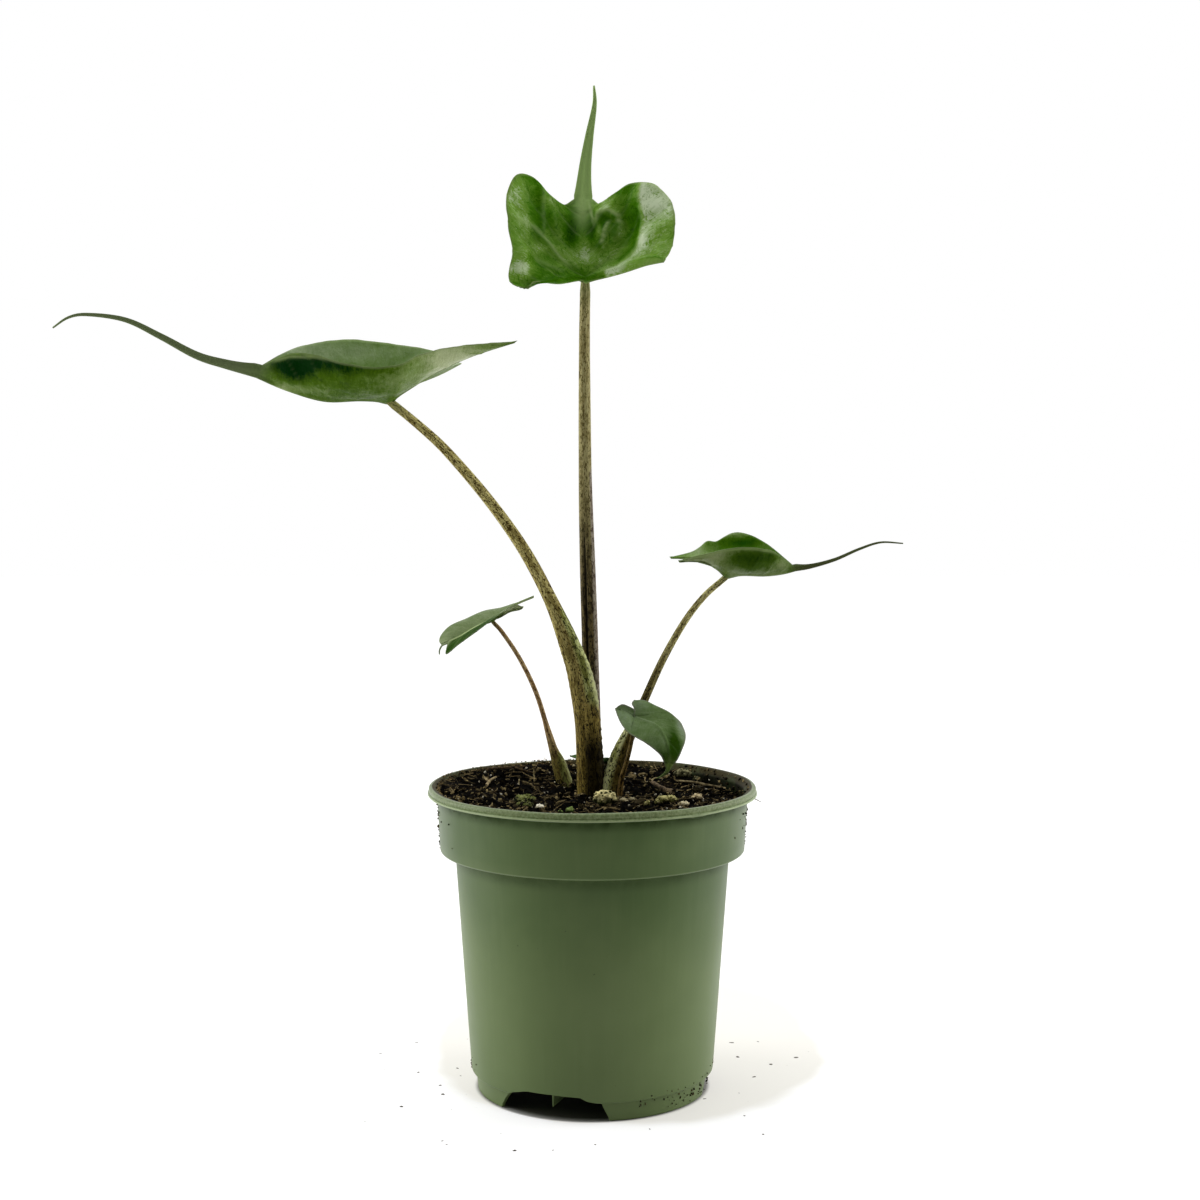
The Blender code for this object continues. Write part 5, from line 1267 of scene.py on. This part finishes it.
def leaf_material(name, dress):
    """Waxy green, deep to bright by each place's tint and painted light, with its own shades on the underside."""
    nodes = Nodes(name + "_skin")
    place, grain = nodes.place(), nodes.vector("grain")
    cloud, cells = nodes.noise(place, 95, 4, 0.6), nodes.noise(place, 1400, 3, 0.6)
    streak = nodes.drawn(grain, (1.1, 0.22, 1), 4, 0.65)
    mottle = nodes.noise(nodes.stretch(place, (1, 1, 1.3)), 330, 4, 0.6, 0.6)
    # Painted wrinkles: pale lines as highlights on their crests, dark lines as shade in their creases
    crest = nodes.line(nodes.drawn(grain, (1.5, 0.2, 1), 3, 0.6, 0.9), 0.47, 0.03)
    crack = nodes.line(nodes.noise(place, 190, 3, 0.55, 1.2), 0.52, 0.022)
    wrinkle = nodes.times(nodes.math("SUBTRACT", nodes.times(crest, 0.7), crack), dress["wrinkle"])
    patchy = nodes.plus(nodes.spread(cloud, -0.22, 0.22), nodes.spread(streak, -0.14, 0.14))
    patchy = nodes.plus(nodes.plus(patchy, nodes.spread(mottle, -0.16, 0.16)), wrinkle)
    # The tint holds the leaf's own patches and painted light and shade
    tone = nodes.plus(nodes.times(nodes.value("tint_and_light"), 0.4), nodes.plus(patchy, 0.4))
    upper, lower = (nodes.ramp(tone, *zip(TONES, dress[key])) for key in ("upper", "lower"))
    shade = nodes.mix(nodes.value("under"), upper, lower)
    # line: a painted highlight along the folds' crests
    for key, share, top in (
        ("vein", dress["vein_pale"], dress["pale"]), ("line", 0.8, dress["pale"]),
        ("rib", dress["rib_pale"], dress["pale"]), ("tail", dress["tail_share"], dress["tail_shade"]),
        ("rim", dress["rim_pale"], dress["rim"]),
    ):
        shade = nodes.over(shade, top, nodes.value(key), share)
    nodes.set(IOR=1.45)
    shine = nodes.spread(nodes.noise(place, 260), *dress["gloss"])
    wax = nodes.spread(nodes.step(tone, 0.3, 0.95), 0.012, 0.11)
    bumps = [(streak, 0.35, 0.0004), (cells, 0.25, 0.00014), (mottle, 0.35, 0.0006), (cloud, 0.25, 0.001)]
    return nodes.finish(shade, shine, wax, *bumps, (crest, 0.2, 0.0003))


# Soil and what lies on it


def soil_level(x, y):
    """Height of the soil's even surface, in metres."""
    wave = np.sin(210 * x + 1) * np.sin(170 * y)
    out = (np.hypot(x, y) / (COLLAR_RADIUS * MM)) ** 2
    heap = smooth_step(np.cos(np.arctan2(y, x) - SOIL_HEAP_SIDE), -0.45, 0.5)
    return (SOIL_TOP + SOIL_HEAP * out * heap + SOIL_WAVE * wave) * MM


def make_soil():
    """The plug that fills the pot, with a lumpy top of matted peat."""
    radius = np.linspace(0, COLLAR_RADIUS - WALL - 0.3, SOIL_RINGS)[:, None] * MM
    angle = turn_angles(SOIL_SIDES)
    x, y = radius * np.sin(angle), -radius * np.cos(angle)
    flat = np.stack([x, y, soil_level(x, y)], 2).reshape(-1, 3)
    lumps = 1.3 * soft_noise(flat, 9, 1.0) + 1.2 * soft_noise(flat, 3.6, 5.0) + 0.6 * soft_noise(flat, 1.5, 9.0)
    pits = np.minimum(soft_noise(flat, 5.5, 14.0) + 0.1, 0) * 5
    flat[:, 2] = np.minimum(flat[:, 2] + ((lumps + pits) * MM - 0.3 * MM), SOIL_LIMIT * MM)
    below = [
        (COLLAR_RADIUS - WALL - 1.4, COLLAR_BOTTOM + WALL + 0.6), (BODY_TOP_RADIUS - WALL - 0.4, COLLAR_BOTTOM + 1),
        (BODY_BOTTOM_RADIUS - WALL - 1.2, FLOOR_TOP + 0.4), (0.001, FLOOR_TOP + 0.4),
    ]
    side = [np.column_stack([r * MM * np.sin(angle), -r * MM * np.cos(angle), 0 * angle + z * MM]) for r, z in below]
    faces = grid_faces(SOIL_RINGS + len(below), SOIL_SIDES, closed=True, flip=True)
    points, faces, _ = weld(np.vstack([flat, *side]), faces, {})
    depth = {"depth": np.clip((soil_level(points[:, 0], points[:, 1]) - points[:, 2]) / MM, -2, 4)}
    make_piece("soil_bed", points, faces, soil_material(), ["soil"], depth)


def soil_material():
    nodes = Nodes("peat")
    place = nodes.place()
    fine, coarse = nodes.noise(place, 900, 5, 0.65), nodes.noise(place, 330, 4, 0.6, 0.5)
    shade = nodes.mix(nodes.step(fine, 0.45, 0.66), PEAT_DARK, PEAT)
    shade = nodes.over(shade, PEAT_PALE, nodes.step(coarse, 0.6, 0.7), 0.6)
    # Painted shade in the hollows, the deeper below the soil's even surface the darker
    shade = nodes.over(shade, PEAT_HOLLOW_SHADE, nodes.step(nodes.value("depth"), 0.2, 1.8))
    return nodes.finish(shade, nodes.spread(fine, 0.75, 1.0), 0.02, (coarse, 0.8, 0.0012), (fine, 0.9, 0.0006))


def scatter_place(rng):
    """A random place on the soil, kept clear of the pot's wall."""
    radius = math.sqrt(rng.random()) * (COLLAR_RADIUS - WALL - 1.2)
    return radius * way_of(rng.random() * math.tau)


def random_turn(rng, tilt):
    """A random turn about Z, tipped by up to tilt of a quarter turn."""
    about = Matrix.Rotation(rng.random() * math.tau, 3, "Z")
    tip = Matrix.Rotation(rng.uniform(-1, 1) * tilt * math.pi / 2, 3, "X")
    roll = Matrix.Rotation(rng.uniform(-1, 1) * tilt * math.pi / 2, 3, "Y")
    return np.array(about @ tip @ roll)


def battered(rng, ball, half, rough):
    """A ball scaled to half sizes, with each of its points moved in or out at random."""
    return ball * half * (1 + rough * rng.standard_normal((len(ball), 1)))


def add_bits(sheet, rng, count, ball, sizes, flatness, lift, palest, rarity):
    """Broken bits strewn over the soil: each a battered ball, squashed and turned at random.

    Their shades go up to palest, and the higher the rarity, the fewer are pale.
    """
    points, faces = ball
    for _ in range(count):
        x, y = scatter_place(rng)
        half = rng.uniform(*sizes) * np.array([1.0, rng.uniform(0.35, 0.8), rng.uniform(*flatness)])
        dents = 1 + 0.3 * np.sin(points @ rng.normal(0, 2.6, 3) + rng.random() * math.tau)[:, None]
        dents += 0.12 * rng.standard_normal((len(points), 1))
        place = np.array([x, y, soil_level(x * MM, y * MM) / MM + rng.uniform(*lift)])
        shade = palest * rng.random() ** rarity
        sheet.add((place + (points * dents * half) @ random_turn(rng, 0.6).T) * MM, faces, shade=shade)


def add_wall_bits(sheet, rng, count, ball):
    """Bits that stick to the pot's inside above the soil."""
    points, faces = ball
    for _ in range(count):
        way = way_of(rng.random() * math.tau)
        low = soil_level(*(way * WALL_SOIL_RADIUS * MM)) / MM
        level = min(rng.uniform(low, POT_HEIGHT + 1), POT_HEIGHT - 0.6)
        half = rng.uniform(0.25, 0.7) * rng.uniform(0.6, 1.2, 3)
        middle = np.array([*(way * (inner_radius(level) - 0.5 * half.max())), level])
        sheet.add((middle + battered(rng, points, half, 0.2)) * MM, faces, shade=0.9 * rng.random() ** 2)


def add_fibre(sheet, rng, length, thick, lift):
    x, y = scatter_place(rng)
    way = rng.random() * math.tau
    t = np.linspace(-0.5, 0.5, 7)[:, None] * length
    ahead, side = np.array([math.cos(way), math.sin(way)]), np.array([-math.sin(way), math.cos(way)])
    flat = np.array([x, y]) + t * ahead + rng.uniform(-0.1, 0.1) * t**2 * side
    flat *= np.minimum(1, (COLLAR_RADIUS - WALL - 0.8) / np.hypot(flat[:, 0], flat[:, 1]))[:, None]
    high = soil_level(flat[:, 0] * MM, flat[:, 1] * MM) / MM + lift + rng.uniform(-0.25, 0.4) * t[:, 0]
    path = np.column_stack([flat, high]) * MM
    sheet.add(tube_grid(path, thick * MM * np.linspace(1, 0.5, 7), 5), tube_faces(7, 5), shade=rng.random() ** 1.7)


def make_litter():
    """Loose bark, flakes, fibres and grains strewn over the soil."""
    rng = np.random.default_rng(4)
    small, large = ball_mesh(1), ball_mesh(2)
    flakes, fibres, grains = Sheet(), Sheet(), Sheet()
    add_bits(flakes, rng, FLAKE_COUNT, small, (0.3, 1.1), (0.15, 0.6), (-0.8, 1.1), 1.0, 3.4)
    add_bits(flakes, rng, CHUNK_COUNT, large, (1.1, 2.2), (0.2, 0.5), (-0.6, 1.0), 0.8, 3)
    for _ in range(FIBRE_COUNT):
        add_fibre(fibres, rng, rng.uniform(1.6, 6.0), rng.uniform(0.09, 0.3), rng.uniform(0.2, 1.3))
    add_wall_bits(flakes, np.random.default_rng(6), WALL_COUNT, small)
    add_bits(grains, rng, GRAIN_COUNT, small, (0.2, 0.6), (0.5, 0.9), (0.3, 1.5), 1.0, 1)
    litter_piece("bark_flakes", flakes)
    litter_piece("peat_fibres", fibres)
    litter_piece("pale_grains", grains)


def make_pot_dirt():
    """Soil that stuck to the outside: on the collar's flanks and along the foot."""
    rng = np.random.default_rng(9)
    ball, faces = ball_mesh(1)
    sheet = Sheet()
    for side, low, high, count in POT_DIRT:
        for _ in range(count):
            level = rng.uniform(low, high)
            way = way_of(math.radians(side + rng.normal(0, 5)))
            half = rng.uniform(0.15, 0.5) * rng.uniform(0.5, 1.3, 3)
            middle = np.array([*(outer_radius(level) * way), level])
            sheet.add((middle + battered(rng, ball, half, 0.25)) * MM, faces, shade=rng.random() ** 2)
    litter_piece("pot_dirt", sheet)


def make_rim_bits():
    """Peat that clings to the pot's inside, and stands over its rim, at the back and the left."""
    rng = np.random.default_rng(12)
    points, faces = ball_mesh(1)
    sheet = Sheet()
    for _ in range(RIM_COUNT):
        high = rng.random() < 0.16
        way = way_of(math.radians(rng.uniform(184, 258) if high else rng.uniform(176, 288)))
        low = min(soil_level(*(way * WALL_SOIL_RADIUS * MM)) / MM, POT_HEIGHT - 2.5)
        level = rng.uniform(POT_HEIGHT - 0.6, POT_HEIGHT + 1.4) if high else rng.uniform(low, POT_HEIGHT - 0.9)
        half = rng.uniform(0.15, 0.38 if high else 0.6) * rng.uniform(0.6, 1.2, 3)
        over = max(0.0, level - POT_HEIGHT) * rng.uniform(0, 1.2)
        out = inner_radius(min(level, POT_HEIGHT)) - 0.3 * half.max() + over
        middle = np.array([*(way * out), min(level, POT_HEIGHT + 0.2)])
        sheet.add((middle + battered(rng, points, half, 0.2)) * MM, faces, shade=0.1 + 0.85 * rng.random() ** 1.8)
    sticks = []
    for _ in range(STICK_COUNT):
        way = way_of(math.radians(rng.uniform(182, 280)))
        foot = np.array([*(inner_radius(POT_HEIGHT) * way), POT_HEIGHT - rng.uniform(0, 3.0)])
        lean = unit(np.array([*rng.normal(0, 0.6, 2), rng.uniform(0.0, 1.0)]))
        sticks.append((foot, foot + lean * rng.uniform(0.8, 2.6), rng.uniform(0.06, 0.13)))
    for foot, end, thick in [*sticks, tuple(map(np.array, LONG_STICK))]:
        path = np.linspace(foot, end, 5)
        path[1:4] += 0.08 * np.linalg.norm(end - foot) * rng.standard_normal((3, 3))
        sheet.add(tube_grid(path * MM, thick * MM * np.linspace(1, 0.5, 5), 5), tube_faces(5, 5), shade=rng.random())
    litter_piece("rim_bits", sheet)


def litter_piece(name, sheet):
    dark, light, slot, smooth = LITTER_LOOKS[name]
    points, values = sheet.arrays()
    make_piece(name, points, sheet.faces, litter_material(name, dark, light), (), values, smooth)


def litter_material(name, dark, light):
    nodes = Nodes(name)
    fine = nodes.noise(nodes.place(), 1100, 4, 0.6)
    shade = nodes.mix(nodes.value("shade"), dark, light)
    shade = nodes.over(shade, dark, nodes.step(fine, 0.5, 0.65), 0.6)
    return nodes.finish(shade, nodes.spread(fine, 0.7, 0.95), 0.04, (fine, 0.6, 0.0003))


def add_crumb(sheet, rng, middle, half, knobs, size):
    """A crumbly lump: a rough core with small knobs grown over it. All in mm."""
    core, core_faces = ball_mesh(4)
    seed = rng.uniform(0, 20)
    rough = 0.86 + 0.25 * soft_noise(core * MM, 0.6, seed) + 0.14 * soft_noise(core * MM, 0.25, seed + 3)
    core = core * rough[:, None]
    core[:, 2] = np.maximum(core[:, 2], -0.95)
    shade = 0.3 + 0.4 * soft_noise(core * MM, 0.3, seed)
    sheet.add((middle + core * half) * MM, core_faces, height=core[:, 2], shade=shade)
    knob, knob_faces = ball_mesh(2)
    for _ in range(knobs):
        way = unit(rng.normal(size=3))
        way[2] = max(way[2], -0.4)
        bumpy = battered(rng, knob, size * rng.uniform(0.5, 1.1) * rng.uniform(0.6, 1.2, 3), 0.15)
        place = middle + way * half * rng.uniform(0.72, 0.92)
        sheet.add((place + bumpy) * MM, knob_faces, height=way[2], shade=rng.random())


def make_crumb(name, knobs, size, shades, slot):
    """The lump in the place of the solid of that name, or the lumps listed under that name."""
    rng = np.random.default_rng(sum(map(ord, name)))
    sheet = Sheet()
    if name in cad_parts:
        low, high = (np.array(corner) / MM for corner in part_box(name))
        add_crumb(sheet, rng, (low + high) / 2, (high - low) / 2, knobs, size)
    for x, y, height, *half in EXTRA_CRUMBS.get(name, ()):
        add_crumb(sheet, rng, np.array((x, y, height)), np.array(half), knobs, size)
    points, values = sheet.arrays()
    make_piece(name + "_lump", points, sheet.faces, crumb_material(name, *shades), node_of(name), values)


def crumb_material(name, base, top, speck):
    """Dark below and in the gaps, pale on top, with specks."""
    nodes = Nodes(name + "_crust")
    place = nodes.place()
    lumps, fine = nodes.noise(place, 520, 4, 0.6), nodes.noise(place, 1500, 4, 0.6)
    upward = nodes.plus(nodes.value("height"), nodes.spread(lumps, -0.9, 0.9))
    shade = nodes.mix(nodes.step(upward, -0.4, 0.5), base, top)
    shade = nodes.over(shade, base, nodes.step(nodes.value("shade"), 0.4, 0.7))
    shade = nodes.over(shade, speck, nodes.step(fine, 0.55, 0.66), 0.7)
    return nodes.finish(shade, nodes.spread(fine, 0.75, 1.0), 0.1, (lumps, 0.6, 0.0005), (fine, 0.7, 0.0003))


def make_twig(name, shades, branches, radius):
    """A dead bit of wood along branches of points, in mm, lifted over the soil's surface."""
    sheet = Sheet()
    share, angle = np.linspace(0, 1, TWIG_ROWS)[:, None], turn_angles(TWIG_SIDES)
    thick = radius * (1 - 0.35 * share) * (1 + 0.12 * np.sin(3 * angle + 5 * share) + 0.1 * np.sin(17 * share))
    for branch in branches:
        placed = [(x, y, soil_level(x * MM, y * MM) / MM + lift) for x, y, lift in branch]
        path = smooth_path(placed, TWIG_ROWS)
        sheet.add(tube_grid(path, thick * MM, TWIG_SIDES), tube_faces(TWIG_ROWS, TWIG_SIDES))
    points, _ = sheet.arrays()
    nodes = Nodes(name + "_wood")
    fine = nodes.noise(nodes.place(), 800, 4, 0.65)
    shade = nodes.mix(nodes.step(fine, 0.35, 0.65), *shades)
    wood = nodes.finish(shade, nodes.spread(fine, 0.7, 0.95), 0.1, (fine, 0.6, 0.0003))
    make_piece(name + "_stick", points, sheet.faces, wood, node_of(name))


def node_of(name):
    """The node that a piece stands in for, if the frame has one of its name."""
    return [name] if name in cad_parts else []


# Everything in its place

bpy.context.scene.view_settings.view_transform = "Standard"
make_camera()
make_world()
make_floor()
for lamp_name, lamp in LAMPS.items():
    add_lamp(lamp_name, *lamp)
make_pot()
make_pot_dirt()
make_soil()
make_litter()
make_rim_bits()
for stem_name, stem in STEMS.items():
    make_stem(stem_name, {**STEM_BASE, **stem})
for leaf_name, leaf in LEAVES.items():
    make_blade(leaf_name, leaf, {**LEAF_BASE, **DRESS[leaf_name]})
for crumb_name, looks in CRUMB_LOOKS.items():
    make_crumb(crumb_name, *looks)
for twig_name, looks in TWIG_LOOKS.items():
    make_twig(twig_name, *looks)
